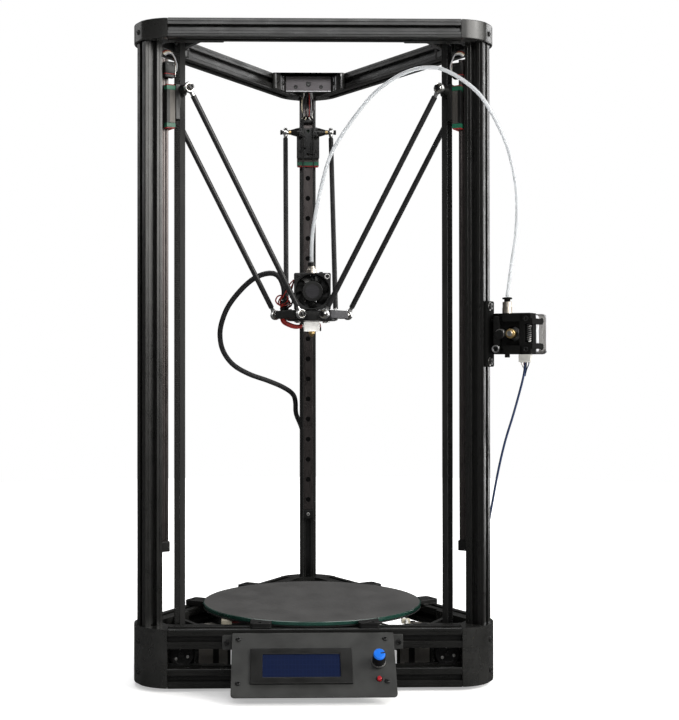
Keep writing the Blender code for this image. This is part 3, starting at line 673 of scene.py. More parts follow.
def set_lights():
    warm = (1.0, 0.985, 0.95)
    softbox("overhead", (0, 560, 2000), (0, 0, 300), 1.8, 1.2, 30)
    softbox("key_right", (1500, -1150, 1180), (0, 0, 420), 1.1, 1.3, 34, warm)
    softbox("strip_right", (1600, -500, 1000), (170, -100, 560), 0.8, 1.1, 13, warm)
    softbox("rim_right", (1500, 1000, 600), (150, 0, 350), 0.25, 1.4, 7)
    softbox("rim_left", (-1500, 900, 1100), (-150, 0, 350), 0.3, 0.9, 1.5)
    softbox("fill_front", (150, -2300, 1500), (0, 0, 200), 1.6, 0.7, 22)

    # a dim even light from all round, with plain white behind for the camera alone
    world = bpy.data.worlds.new("studio")
    world.use_nodes = True
    tree = world.node_tree
    plain = tree.nodes["Background"]
    plain.inputs["Color"].default_value, plain.inputs["Strength"].default_value = (1, 1, 1, 1), 0.07
    seen = tree.nodes.new("ShaderNodeBackground")
    seen.inputs["Color"].default_value, seen.inputs["Strength"].default_value = (1, 1, 1, 1), 1.0
    path, mix = tree.nodes.new("ShaderNodeLightPath"), tree.nodes.new("ShaderNodeMixShader")
    tree.links.new(path.outputs["Is Camera Ray"], mix.inputs[0])
    tree.links.new(plain.outputs[0], mix.inputs[1])
    tree.links.new(seen.outputs[0], mix.inputs[2])
    tree.links.new(mix.outputs[0], tree.nodes["World Output"].inputs["Surface"])
    bpy.context.scene.world = world
    bpy.context.scene.view_settings.view_transform = "Standard"


def lay_floor():
    bm = bmesh.new()
    bmesh.ops.create_circle(bm, cap_ends=True, segments=96, radius=2.2)
    mesh = bpy.data.meshes.new("floor")
    bm.to_mesh(mesh)
    bm.free()
    surface = bpy.data.materials.new("floor_paper")
    surface.use_nodes = True
    tree = surface.node_tree
    shader = tree.nodes["Principled BSDF"]
    shader.inputs["Base Color"].default_value = (0.9, 0.9, 0.9, 1)
    shader.inputs["Roughness"].default_value = 0.9
    shader.inputs["Specular IOR Level"].default_value = 0.1
    # painted light: the paper glows, at 0.4 near the machine rising to full away from it, until it meets the
    # white behind it; near the machine the glow lightens its shadow
    place, far = tree.nodes.new("ShaderNodeTexCoord"), tree.nodes.new("ShaderNodeVectorMath")
    far.operation = "LENGTH"
    glow = tree.nodes.new("ShaderNodeMapRange")
    for index, value in ((1, 0.2), (2, 0.7), (3, 0.4), (4, 1.0)):
        glow.inputs[index].default_value = value
    shader.inputs["Emission Color"].default_value = (1, 1, 1, 1)
    tree.links.new(place.outputs["Object"], far.inputs[0])
    tree.links.new(far.outputs["Value"], glow.inputs[0])
    tree.links.new(glow.outputs[0], shader.inputs["Emission Strength"])
    mesh.materials.append(surface)
    floor = bpy.data.objects.new("floor", mesh)
    bpy.context.scene.collection.objects.link(floor)
    floor.visible_glossy = False


set_camera()
set_lights()
lay_floor()

# ---------------------------------------------------------------- columns, beams, corners

COLUMN_RADIUS, BEAM_RADIUS, BEAM_HALF = 196, 115, 149.5
HEIGHT, BASE_HEIGHT = 680, 60
ARM_START, ARM_OUTER, ARM_INNER = 93, 104.7, 100.5
WALL_INNER, WALL_OUTER = 153, 157
NOSE_MIDDLE, NOSE_RADIUS = 168.6, 41.2
NOSE = [  # an arc that is flat in its middle
    (NOSE_RADIUS * math.cos(math.radians(a)), NOSE_MIDDLE + NOSE_RADIUS * math.sin(math.radians(a)))
    for a in (*range(35, 81, 5), *range(100, 146, 5))
]


def slotted():
    """The 20 x 20 extrusion's outline: a T slot in each side."""
    side = [(-9.2, 10), (-6.8, 10), (-6.5, 9.7), (-6.2, 10), (-3.5, 10), (-3.1, 9.65)]
    side += [(-3.1, 8.3), (-5.7, 8.3), (-6, 8), (-6, 7), (-3.4, 4.4)]
    side += [(-x, y) for x, y in reversed(side)] + [(9.75, 9.75)]
    loop = []
    for turn in range(4):
        c, s = math.cos(-turn * math.pi / 2), math.sin(-turn * math.pi / 2)
        loop += [(x * c - y * s, x * s + y * c) for x, y in side]
    return loop


def on_beam(normal, along):
    """A point in a tower's frame, from its distance off the axis and along the next beam."""
    c, s = math.cos(math.radians(30)), 0.5
    return (normal * c - along * s, normal * s + along * c)


def bracket_outline():
    """A corner bracket from above: a round nose, an arm along each beam and a wall between them."""
    wall = (WALL_INNER - ARM_INNER * 0.5) / math.cos(math.radians(30))
    nose = [(x, y, 0) for x, y in NOSE]
    side = [
        (*on_beam(ARM_OUTER, BEAM_HALF + 0.3), 0),
        (*on_beam(ARM_OUTER, ARM_START), 1),
        (*on_beam(ARM_INNER, ARM_START), 1),
        (*on_beam(ARM_INNER, wall), 3),
    ]
    return rounded(nose + [(-x, y, r) for x, y, r in side] + side[::-1], 3)


SOCKET = rectangle((-10.3, 10.3), around(COLUMN_RADIUS, 10.3))
BELT_POCKET = [(24.4, WALL_OUTER), (13.2, 177), (8, 181), (-8, 181), (-13.2, 177), (-24.4, WALL_OUTER)]


def corner_screws(piece, heights):
    """Cap screws on the nose's middle line, and two on each arm into its beam."""
    for z in heights:
        face = NOSE_MIDDLE + NOSE_RADIUS * 0.985 - 0.3
        piece.add(socket_screw(2.6, 1.6, 1.2, 1.2), "black_steel", shifted(0, face, z), BEHIND)
        for side in (-1, 1):
            for along in (99, 113):
                x, y = on_beam(ARM_INNER, along)
                inwards = spun("Z", -60 * side)
                piece.add(button_screw(2.7, 1.5, 1.1), "black_steel", shifted(side * x, y, z), inwards, AHEAD)


def open_base(piece):
    """A base corner: closed at the height of each beam, and open between them round the motor."""
    wall = rectangle((-24, 24), (WALL_INNER, WALL_OUTER), 1)
    shell = [*NOSE, (-16, 182), (-11.6, 179.6), (11.6, 179.6), (16, 182)]
    pockets = [(SOCKET, 2), (BELT_POCKET, 2)]
    piece.add(prism(bracket_outline(), 0, 9, 1.4, pockets=pockets, steps=3), "bracket")
    for low, high in ((7.6, 20), (40, BASE_HEIGHT)):
        piece.add(prism(bracket_outline(), low, high, 0, [SOCKET, BELT_POCKET]), "bracket")
    piece.add(prism(shell, 19.9, 40.1, 0, [rectangle((-10.3, 10.3), (185.7, 206.3))]), "bracket")
    piece.add(prism(wall, 19.9, 40.1), "bracket")
    for side in (-1, 1):  # a round boss between each pair of beams, with its screws
        x, y = on_beam(101, 137)
        at = (shifted(side * x, y, 30), spun("Z", 120 * (side < 0) - 60), BEHIND)
        boss = [(0, 0), (12.8, 0, 0.4), (12.8, 3.4, 0.8), (9.5, 3.6, 0.3), (9.2, 2.6, 0.3), (0, 2.6)]
        piece.add(lathe(boss, 48), "black", *at)
        for turn in (40, 160, 280):
            piece.add(socket_screw(1.7, 1.2, 0.8, 0.8), "steel", *at, spun("Z", turn), shifted(7, 0, 2.5))
        piece.add(socket_screw(3, 1.4, 1.3, 1.0), "black_steel", *at, shifted(0, 0, 2.5))


def build_towers():
    column = prism(slotted(), 2.3, HEIGHT - 2.3, 0, [circle(2.1, 16)])
    for name, place in TOWER.items():
        made = Piece(f"column_{name}_extrusion", place)
        made.add(column, "anodised", shifted(0, COLUMN_RADIUS, 0))
        made.done("anodised", f"column_{name}")

        top = Piece(f"top_corner_{name}_body", place)
        pockets = [(SOCKET, HEIGHT - 2), (BELT_POCKET, HEIGHT - 2)]
        top.add(prism(bracket_outline(), HEIGHT - 20, HEIGHT, 1.2, pockets=pockets, steps=3), "bracket")
        for side in (-1, 1):  # ribs that stiffen each arm below
            x = side * 30
            top.add(slab(around(x, 1), (WALL_INNER - 1, WALL_OUTER + 12), (661, 677), 0.3), "bracket")
            for along, width in ((95, 0.7), (108, 0.9), (112.5, 0.6)):  # raised edges on the arm's inner face
                x, y = on_beam(ARM_INNER - 0.2, along)
                at = shifted(side * x, y, HEIGHT - 10.2), spun("Z", -60 * side)
                rib = slab((-width, width), (-0.5, 0.4), (-9, 9), 0.2)
                # painted highlight: on the back tower these raised edges are bright alloy, on the others
                # black plastic, standing in for the light they catch
                top.add(rib, "alloy" if name == "c" else "bracket", *at)
        corner_screws(top, (HEIGHT - 10.5,))
        top.done("bracket", f"top_corner_{name}")

        plate = Piece(f"top_corner_{name}_idler_plate", place)
        holes = [circle(3.1, 24, (0, HEIGHT - 10.4))]
        holes += [circle(2.4, 20, (x, HEIGHT - 14)) for x in (-15.5, 15.5)]
        outline = rectangle((-27.5, 27.5), (HEIGHT - 19.6, HEIGHT - 0.8), 0.8)
        face = prism(outline, -0.9, 0.9, 0.25, holes)
        plate.add(face, "bracket_metal", shifted(0, WALL_INNER - 0.7, 0), AHEAD)
        plate.add(slab((-27.5, 27.5), (151.2, 152.4), (660.4, 661.4), 0.3), "alloy")  # its folded lower lip
        for x in (-29.4, 29.4):
            plate.add(slab(around(x, 0.6), (151.6, 153.6), (660.6, 679), 0.3), "alloy")
        plate.add(rod(1.5, (0, WALL_INNER + 1, 669.6), (0, 168, 669.6)), "steel")
        plate.add(socket_screw(2.8, 2.2), "black_steel", shifted(0, WALL_INNER + 0.9, 669.6), AHEAD)
        plate.add(nut(2.7, 2.2, 1.5), "steel", shifted(0, 166.6, 669.6), BEHIND)
        for x in (-15.5, 15.5):
            plate.add(socket_screw(1.9, 0.8, 0.9, 0.6), "black", shifted(x, WALL_INNER + 0.6, 666), AHEAD)
        plate.done("bracket")

        base = Piece(f"base_corner_{name}_body", place)
        open_base(base)
        corner_screws(base, (13, 44))
        base.add(slab((-16, 16), (WALL_INNER - 1.2, WALL_INNER + 1), (3, 8), 0.4), "bracket")
        base.done("bracket", f"base_corner_{name}")
        foot = Piece(f"base_corner_{name}_foot", place)
        ring = [(0, -4), (8.2, -4, 0.6), (9, -2.4, 0.5), (9, 0.5), (0, 0.5)]
        foot.add(lathe(ring, 32), "rubber", shifted(0, 168, 0))
        washer = [(2.2, -4.02), (3.4, -4.02, 0.2), (3.4, -3, 0), (2.2, -3)]
        foot.add(lathe(washer, 24), "steel", shifted(0, 168, 0))
        foot.done("bracket")


def build_beams():
    beam = prism(slotted(), -BEAM_HALF, BEAM_HALF, 0.2, [circle(2.1, 16)], steps=1)
    rows = {"top_beam": HEIGHT - 10, "base_beam_upper": BASE_HEIGHT - 10, "base_beam_lower": 10}
    for row, height in rows.items():
        for name, place in SIDE.items():
            made = Piece(f"{row}_{name}_extrusion", place)
            made.add(beam, "anodised_flat", shifted(0, BEAM_RADIUS, height), ALONG_X)
            made.done("anodised", f"{row}_{name}")
    shade_sheet = Piece("left_base_shade_sheet", SIDE["left"])  # painted shade: a black sheet behind the beams darkens the base's inside
    shade_sheet.add(slab((-90, 90), (102.8, 104.6), (18, 42), 0.4), "black")
    shade_sheet.done("bracket")


build_towers()
build_beams()

# ---------------------------------------------------------------- rails, carriages, rods

JOINT_RADIUS, JOINT_HALF_SPAN, JOINT_HEIGHT, HEAD_HEIGHT = 165, 28, 612.6, 381.9
ROD_LENGTH, DELTA_RADIUS = 267, 134.4
RAIL_FACE, RAIL_LOW, RAIL_HIGH = 185.7, 145, 645


def rail_shape():
    """A profiled rail lying along Z, its top towards -Y. Its holes, every 25 mm, are cut only through the
    strip that rail_top makes.
    """
    right = [(6, 0), (6, 2), (5.1, 3.2), (5.1, 4.6), (6, 5.8), (6, 7.6), (5.6, 8)]
    body = [(-x, -y) for x, y in right] + [(x, -y) for x, y in reversed(right)]
    return prism(body, RAIL_LOW, RAIL_HIGH, 0.3, steps=1)


def rail_top():
    """The rail's top face as a thin strip of its own, which the screw holes go through."""
    heights = [RAIL_LOW + 12.5 + 25 * i for i in range(20)]
    holes = [circle(3.1, 20, (0, z)) for z in heights]
    strip = prism(rectangle((-5.5, 5.5), (RAIL_LOW + 0.5, RAIL_HIGH - 0.5)), 0, 0.25, 0.1, holes, steps=1)
    return strip, heights


def joint_bolt(piece, side, centre, *turn):
    """The bolt that carries a rod's eye: ball, collar, shank and its socket head outside."""
    at = (*turn, shifted(*centre), spun("Y", 90 * side))
    piece.add(rod(1.5, (0, 0, -4), (0, 0, 4)), "steel", *at)
    half = [(1.4, -3.4), (2.4, -3.4, 0.2), (3.2, -2.2, 1.2)]
    ball = [*half, (3.75, 0, 1.8), *((radius, -z, *edge) for radius, z, *edge in reversed(half))]
    piece.add(lathe(ball, 28), "chrome", *at)
    spacer = [(1.4, -8), (2.5, -8), (2.5, -4.9, 0.2), (2.2, -3.3, 0.1), (1.4, -3.3)]
    piece.add(lathe(spacer, 24), "alloy", *at)
    piece.add(socket_screw(2.9, 2.8, 1.3, 1.5), "black_steel", *at, shifted(0, 0, 3.7))


def build_carriage(name, place):
    top, face = JOINT_HEIGHT, 173
    low, high = top - 40.9, top + 4.5
    block = Piece(f"carriage_{name}_block", place, f"carriage_{name}")
    wide, back, slot, slot_floor = 13.5, 183, 6.6, 177.2
    channel = [(-wide, back), (-wide, face), (wide, face), (wide, back)]
    channel += [(slot, back), (slot, slot_floor), (-slot, slot_floor), (-slot, back)]
    outline = rounded([(x, y, 0.9 if y == face else 0) for x, y in channel], 3)
    block.add(prism(outline, low + 5.6, high - 5.6, 0.3), "block_steel")
    for side in (-1, 1):  # the dark skirts beside the rail
        block.add(slab(around(side * 10.2, 3.4), (179.4, 183.05), (low + 5.4, high - 5.4), 0.3), "black")
    for start, sign in ((low, 1), (high, -1)):  # end caps, each with a red wiper outside it
        for colour, inner, outer, shrink in (("green", 1.0, 5.5, 0), ("red_seal", 0, 1.1, 0.5)):
            cap = []
            for x, y in channel:
                front = y == face
                cap.append((x * (1 - shrink / wide), y + (shrink if front else 0), 0.8 if front else 0))
            z = sorted((start + sign * inner, start + sign * outer))
            block.add(prism(rounded(cap, 3), *z, 0.2, steps=1), colour)
        for x in (-9.5, 9.5):
            at = shifted(x, 179.5, start - sign * 0.1), spun("X", 180 if sign > 0 else 0)
            block.add(button_screw(1.3, 0.6, 0.5), "steel", *at)
    block.done("carriage_metal", f"carriage_{name}")

    plate = Piece(f"carriage_{name}_plate", place, f"carriage_{name}")
    shape = rectangle((-14, 14), (top - 32, top + 6), 1.5)
    screws = [(x, z) for x in (-10, 10) for z in (top - 22, top - 2)]
    holes = [circle(1.7, 16, (x, z)) for x, z in ((0, top - 27), (0, top + 2))]
    plate.add(prism(shape, -4.9, 0, 0.5, holes), "black_paint", shifted(0, face, 0), AHEAD,
              shifted(0, 0, 4.9))
    for x, z in screws:
        depth = 160.5 if z > top - 10 else face - 4.8
        plate.add(socket_screw(2.7, 1.6, 1.25), "black_steel", shifted(x * 0.83, depth, z), AHEAD)
    # the belt's two ends, clamped in a toothed block in front of the plate
    clamp = rectangle((-9, -2.4), (top - 19, top - 5), 1)
    plate.add(prism(clamp, 0, 3.4, 0.4), "black", shifted(0, face - 4.8, 0), AHEAD)
    plate.add(slab((2.5, 8.5), (face - 7.6, face - 4.8), (top - 27, top - 12), 0.5), "black")
    for z in (top - 15.5, top - 8.5):
        plate.add(socket_screw(1.5, 1.2, 0.7, 0.8), "black_steel", shifted(-5.7, face - 8.1, z), AHEAD)
    for side in (-1, 1):
        cone = [(0, 9), (5.6, 9), (5.4, 13.5, 1.5), (3.2, 21.3, 0.6), (0, 21.5)]
        outwards = shifted(0, JOINT_RADIUS, top), spun("Y", 90 * side)
        plate.add(lathe(cone, 32), "black_paint", *outwards)
        plate.add(disc(0, 2.9, 20.6, 24.3, 24, 0.2, 0.3), "brass", *outwards)
        plate.add(slab(around(side * 8.3, 3.7), (160.2, face - 3), (top - 6, top + 5.6), 1.2), "black_paint")
        joint_bolt(plate, side, (side * JOINT_HALF_SPAN, JOINT_RADIUS, top))
    plate.done("black_metal")


def build_rods(name, place):
    lean = spun("X", -math.degrees(math.asin(DELTA_RADIUS / ROD_LENGTH)))
    eye = [(4.1, -2.3), (4.6, -2.3, 0.2), (5.6, -1.5, 0.5), (5.6, 1.5, 0.5), (4.6, 2.3, 0.2), (4.1, 2.3)]
    liner = disc(3.85, 4.15, -1.9, 1.9)
    for side, x in (("left", -JOINT_HALF_SPAN), ("right", JOINT_HALF_SPAN)):
        hung = place @ shifted(x, JOINT_RADIUS, JOINT_HEIGHT) @ lean
        piece = Piece(f"rod_{name}_{side}_tube", hung, f"rod_{name}_{side}")
        piece.add(rod(2.9, (0, 0, -9.4), (0, 0, 9.4 - ROD_LENGTH), 0.5, 24), "carbon")
        for end, down in ((0, -1), (-ROD_LENGTH, 1)):
            piece.add(lathe(eye, 36), "chrome", shifted(0, 0, end), ALONG_X)
            piece.add(liner, "cream", shifted(0, 0, end), ALONG_X)
            stem = lathe([(0, 0), (2.6, 0), (2.2, 1.6, 0.6), (2.1, 3.6), (2.1, 9.2), (0, 9.2)], 20)
            piece.add(stem, "chrome", shifted(0, 0, end + down * 5), spun("X", 180 if down < 0 else 0))
        piece.done("carbon_rod", f"rod_{name}_{side}")


def build_motion():
    rail = rail_shape()
    strip, heights = rail_top()
    for name, place in TOWER.items():
        piece = Piece(f"rail_{name}_track", place)
        piece.add(rail, "rail", shifted(0, RAIL_FACE, 0))
        piece.add(strip, "rail", shifted(0, RAIL_FACE - 7.95, 0), AHEAD)
        for z in heights:
            # painted shade: a flat near-black disc and a flush near-black screw head stand in for each
            # counterbored hole and the shade down it
            piece.add(prism(circle(3, 20), 0, 0.1), "painted_shade", shifted(0, RAIL_FACE - 7.96, z), AHEAD)
            piece.add(socket_screw(2.4, 0.16, 1.1, 0.1), "painted_shade", shifted(0, RAIL_FACE - 8.02, z), AHEAD)
        piece.add(slab((-7, 7), (176.2, RAIL_FACE), (RAIL_LOW - 11, RAIL_LOW - 0.1), 0.8), "black")
        piece.add(socket_screw(2.2, 0.8, 1.1, 0.7), "steel", shifted(0, 176.3, RAIL_LOW - 5.5), AHEAD)
        piece.done("rail_steel", f"rail_{name}")
        build_carriage(name, place)
        build_rods(name, place)


build_motion()

# ---------------------------------------------------------------- belt drives

BELT_Y, MOTOR_HEIGHT, IDLER_HEIGHT, PITCH_RADIUS = 162, 30, 669.6, 6.4


def belt_shape():
    """The toothed loop round both pulleys, in the XZ plane."""
    run, around = IDLER_HEIGHT - MOTOR_HEIGHT, math.pi * PITCH_RADIUS
    total = 2 * (run + around)
    count = round(total / 2)
    outer, inner = [], []
    for number in range(count * 4):
        s = total * number / (count * 4)
        lap, s = divmod(s, run + around)
        if s < run:
            middle, out = Vector((PITCH_RADIUS, MOTOR_HEIGHT + s)), Vector((1, 0))
        else:
            angle = (s - run) / PITCH_RADIUS
            out = Vector((math.cos(angle), math.sin(angle)))
            middle = Vector((0, IDLER_HEIGHT)) + out * PITCH_RADIUS
        if lap:
            centre = Vector((0, (MOTOR_HEIGHT + IDLER_HEIGHT) / 2))
            middle, out = 2 * centre - middle, -out
        outer.append(tuple(middle + out * 0.7))
        inner.append(tuple(middle - out * (0.7 if number % 4 in (0, 1) else 0.15)))
    return prism(outer, -3, 3, 0, [inner])


def flange_shape(bore):
    """One of a pulley's two flanges, round Z."""
    return lathe([(bore, -0.4), (6.6, -0.4), (7.6, 0.1, 0.2), (7.4, 0.4, 0.1), (bore, 0.4)], 40)


def motor_shape(piece, bands, *moves):
    """A square stepper motor below z = 0, in bands of (depth, look), with four corner bolts behind."""
    square = rectangle((-21.15, 21.15), (-21.15, 21.15), 5)
    cut_square = rectangle((-20.9, 20.9), (-20.9, 20.9), 6.5)
    start = 0
    for depth, look in bands:
        # laminations have cut corners, and run a little way into the bands beside them
        outline, edge, overlap = (cut_square, 0, 0.6) if look.startswith("winding") else (square, 0.5, 0)
        piece.add(prism(outline, start - depth - overlap, start + overlap, edge), look, *moves)
        start -= depth
    for x, y in ((-15.5, -15.5), (15.5, -15.5), (15.5, 15.5), (-15.5, 15.5)):
        piece.add(socket_screw(2.3, 0.1, 1.1, 0.08), "steel", *moves, shifted(x, y, start), spun("X", 180))


def build_drives():
    belt = belt_shape()
    drum = prism(toothed(80, 5.3, 4.7), -3.4, 3.4)
    flange, free_flange = flange_shape(2.4), flange_shape(1.9)
    for name, place in TOWER.items():
        loop = Piece(f"belt_{name}_loop", place)
        loop.add(belt, "belt", shifted(0, BELT_Y, 0), BEHIND, spun("X", 180))
        loop.done("belt_rubber", f"belt_{name}", smooth=40, weighted=False)
        drive = Piece(f"drive_pulley_{name}_wheel", place, f"drive_pulley_{name}")
        at = (shifted(0, BELT_Y, MOTOR_HEIGHT), BEHIND)
        drive.add(drum, "black_steel", *at)
        for z in (-3.7, 3.7):
            drive.add(flange, "black_steel", *at, shifted(0, 0, z))
        drive.add(rod(2.5, (0, 0, -7), (0, 0, 4.1)), "steel", *at)
        drive.add(rod(1.2, (3.5, 0, 3.6), (5.6, 0, 3.6), 0.1, 12), "steel", *at)
        drive.done("rail_steel", f"drive_pulley_{name}")
        idler = Piece(f"idler_pulley_{name}_wheel", place, f"idler_pulley_{name}")
        at = (shifted(0, BELT_Y, IDLER_HEIGHT), BEHIND)
        idler.add(disc(1.9, 5.2, -3.4, 3.4), "steel", *at)
        for z in (-3.7, 3.7):
            idler.add(free_flange, "alloy", *at, shifted(0, 0, z))
        idler.done("rail_steel", f"idler_pulley_{name}")
        motor = Piece(f"motor_{name}_body", place)
        face = (shifted(0, 152.7, MOTOR_HEIGHT), BEHIND)
        bands = (2.5, "black"), (16.5, "winding"), (7, "black"), (10, "winding"), (4, "black")
        motor_shape(motor, bands, *face)
        motor.add(disc(3, 11, -0.5, 1.7, 40, 0, 0.4), "alloy", *face)
        motor.add(slab((-8.5, 8.5), (20.6, 24.4), (-38, -31), 0.5), "white", *face)
        for number, look in enumerate(("wire_dark", "wire_red", "wire_blue", "wire_white")):
            x = number * 2.4 - 3.6
            route = [(x, 23.5, -36), (x, 25.8, -38.5), (number * 1.6 - 2, 26, -46)]
            motor.add(tube(route, 0.6, 8), look, *face)
        motor.done("motor_steel", f"motor_{name}")


build_drives()

# ---------------------------------------------------------------- print head

FAN_HEIGHT, FAN_BACK = 406.7, -20


def build_effector():
    piece = Piece("effector_plate", AXIS, "head")
    bore, low, high = circle(8.6, 40), 375, 386.3
    piece.add(prism(circle(27, 64), low, high, 0.8, [bore]), "black_paint")
    for name, angle in TOWERS.items():
        turn = spun("Z", angle - 90)
        look = "dark_metal" if name == "b" else "black_paint"
        outline = rectangle((-21, 21), (26.1, 35.1), 1.5)
        holes = [circle(1.6, 16, (x, 30.6)) for x in (-8, 8)]
        piece.add(prism(outline, 377.4, 386.3, 0.7, holes), look, turn)
        for side in (-1, 1):
            centre = (side * JOINT_HALF_SPAN, 30.6, HEAD_HEIGHT)
            joint_bolt(piece, side, centre, turn)
            piece.add(socket_screw(2.2, 0.3, 1.0, 0.2), "black_steel", turn, shifted(side * 14, 30.6, 386.1))
    for x, y in ((-17, -12), (17, -12), (-15, 15), (15, 15)):
        piece.add(socket_screw(2.4, 0.3, 1.2, 0.2), "steel", shifted(x, y, 386.1))
        piece.add(nut(2.4, 2.0, 1.3), "steel", shifted(x, y, 373.2))
    piece.add(slab((-33, -20), (2, 8), (377, 385.4), 1.0), "black")
    piece.add(disc(2.4, 4, 379, 398.1, 32, 0.5, 0.6), "black", shifted(-31, 5, 0))
    for z in (388, 394):  # cable ties round the clip
        piece.add(disc(3.9, 4.4, z, z + 2, 24), "rubber", shifted(-31, 5, 0))
    piece.done("head_metal", "effector")


def build_hotend():
    piece = Piece("hotend_stack", AXIS, "head")
    fins = [(4.2, 388)]
    for i in range(11):
        z = 388.2 + 3.25 * i
        fins += [(4.6, z), (11, z, 0.25), (11, z + 1.3, 0.25), (4.6, z + 1.3)]
    fins += [(4.2, 424), (0, 424)]
    piece.add(lathe([(0, 388), *fins], 40), "alloy")
    throat = [(0, 375.2), (1.6, 375.2), (1.6, 378), (8, 378.2, 0.4), (8, 388.1), (0, 388.1)]
    piece.add(lathe(throat, 36), "alloy")
    piece.add(lathe([(0, 423.9), (6.1, 423.9, 0.3), (6.1, 426.2, 0.4), (4, 426.6), (0, 426.6)], 32), "nickel")
    piece.add(stack((hexagon(5.4), 426.4), (hexagon(5.4), 432.2), (hexagon(4.9), 432.6)), "nickel")
    neck = [(0, 432.4), (4.6, 432.4, 0.2), (4.6, 434.2, 0.3), (3.2, 434.4), (3.2, 436.4), (0, 436.4)]
    piece.add(lathe(neck, 32), "nickel")
    collar = [(2.2, 436), (4.5, 436, 0.4), (4.5, 439.9, 0.7), (2.9, 440.2, 0.1), (2.2, 440)]
    piece.add(lathe(collar, 32), "black")
    # heater block in its white wrap, with the two wires and their clamp screw, and the nozzle
    piece.add(slab((-8.7, 8.7), (-7, 9), (363.6, 374.8), 1.1, 3), "tape")
    piece.add(lathe([(0, 357.5), (0.8, 357.5), (3.2, 360.7, 0.2), (3.2, 362.0), (0, 362.0)], 28), "brass")
    piece.add(stack((hexagon(3.4), 361.6), (hexagon(3.4), 363.7)), "brass")
    piece.add(rod(2.2, (8.4, 2, 366), (10.6, 2, 366), 0.4), "black_steel")
    piece.add(rod(1.4, (-8.4, 3, 370), (-12, 3, 370), 0.3), "wire_white")
    hot = [(-10.5, 3, 370), (-17, 2, 369.5), (-24, 0, 371.5), (-30, 1, 375), (-33, 4, 381)]
    piece.add(tube(evenly(hot, 24), 1.7), "wire_red")
    cold = [(-10.5, 3.8, 368.6), (-18, 4.4, 367.6), (-26, 3, 369.8), (-32.5, 4, 374), (-34.5, 6.5, 382)]
    piece.add(tube(evenly(cold, 24), 1.3), "wire_red")
    sensor = [(7, 6, 366), (10, 7, 368), (9, 10, 373), (6, 12, 376)]
    piece.add(tube(evenly(sensor, 16), 0.6), "wire_red")
    # loose loops of thin wire between the fan's back corner and the loom
    tangle = [
        ("red", 0.75, (-20, 4, 421), (-25, 2, 415), (-30, 0, 405), (-35, 2, 397),
         (-33, 6, 390), (-27, 8, 388.5), (-24, 8, 396), (-30, 6, 402)),
        ("red", 0.75, (-19.5, 6, 420), (-24, 6, 411), (-33, 4, 403), (-37, 6, 395),
         (-30, 10, 389.5), (-24, 10, 393), (-28, 8, 400)),
        ("dark", 0.75, (-20, 5, 419), (-23, 9, 409), (-31, 9, 398), (-34, 10, 391), (-28, 12, 388),
         (-22, 12, 388)),
        ("red", 0.7, (-20, 2, 396), (-27, -2, 393), (-34, 0, 391), (-31, 4, 388)),
        ("red", 0.8, (-29, 8, 404), (-37, 3, 403), (-40, 1, 397.5), (-36, 0, 393),
         (-29, 1, 395), (-26, 3, 400), (-29, 6, 404)),
        ("dark", 0.8, (-24, 7, 402), (-21.5, 0, 399), (-23, -1, 392), (-29, 0, 389.5), (-34, 3, 392)),
    ]
    for colour, radius, *route in tangle:
        piece.add(tube(evenly(route, 40), radius), f"wire_{colour}")
    piece.done("alloy", "hotend")


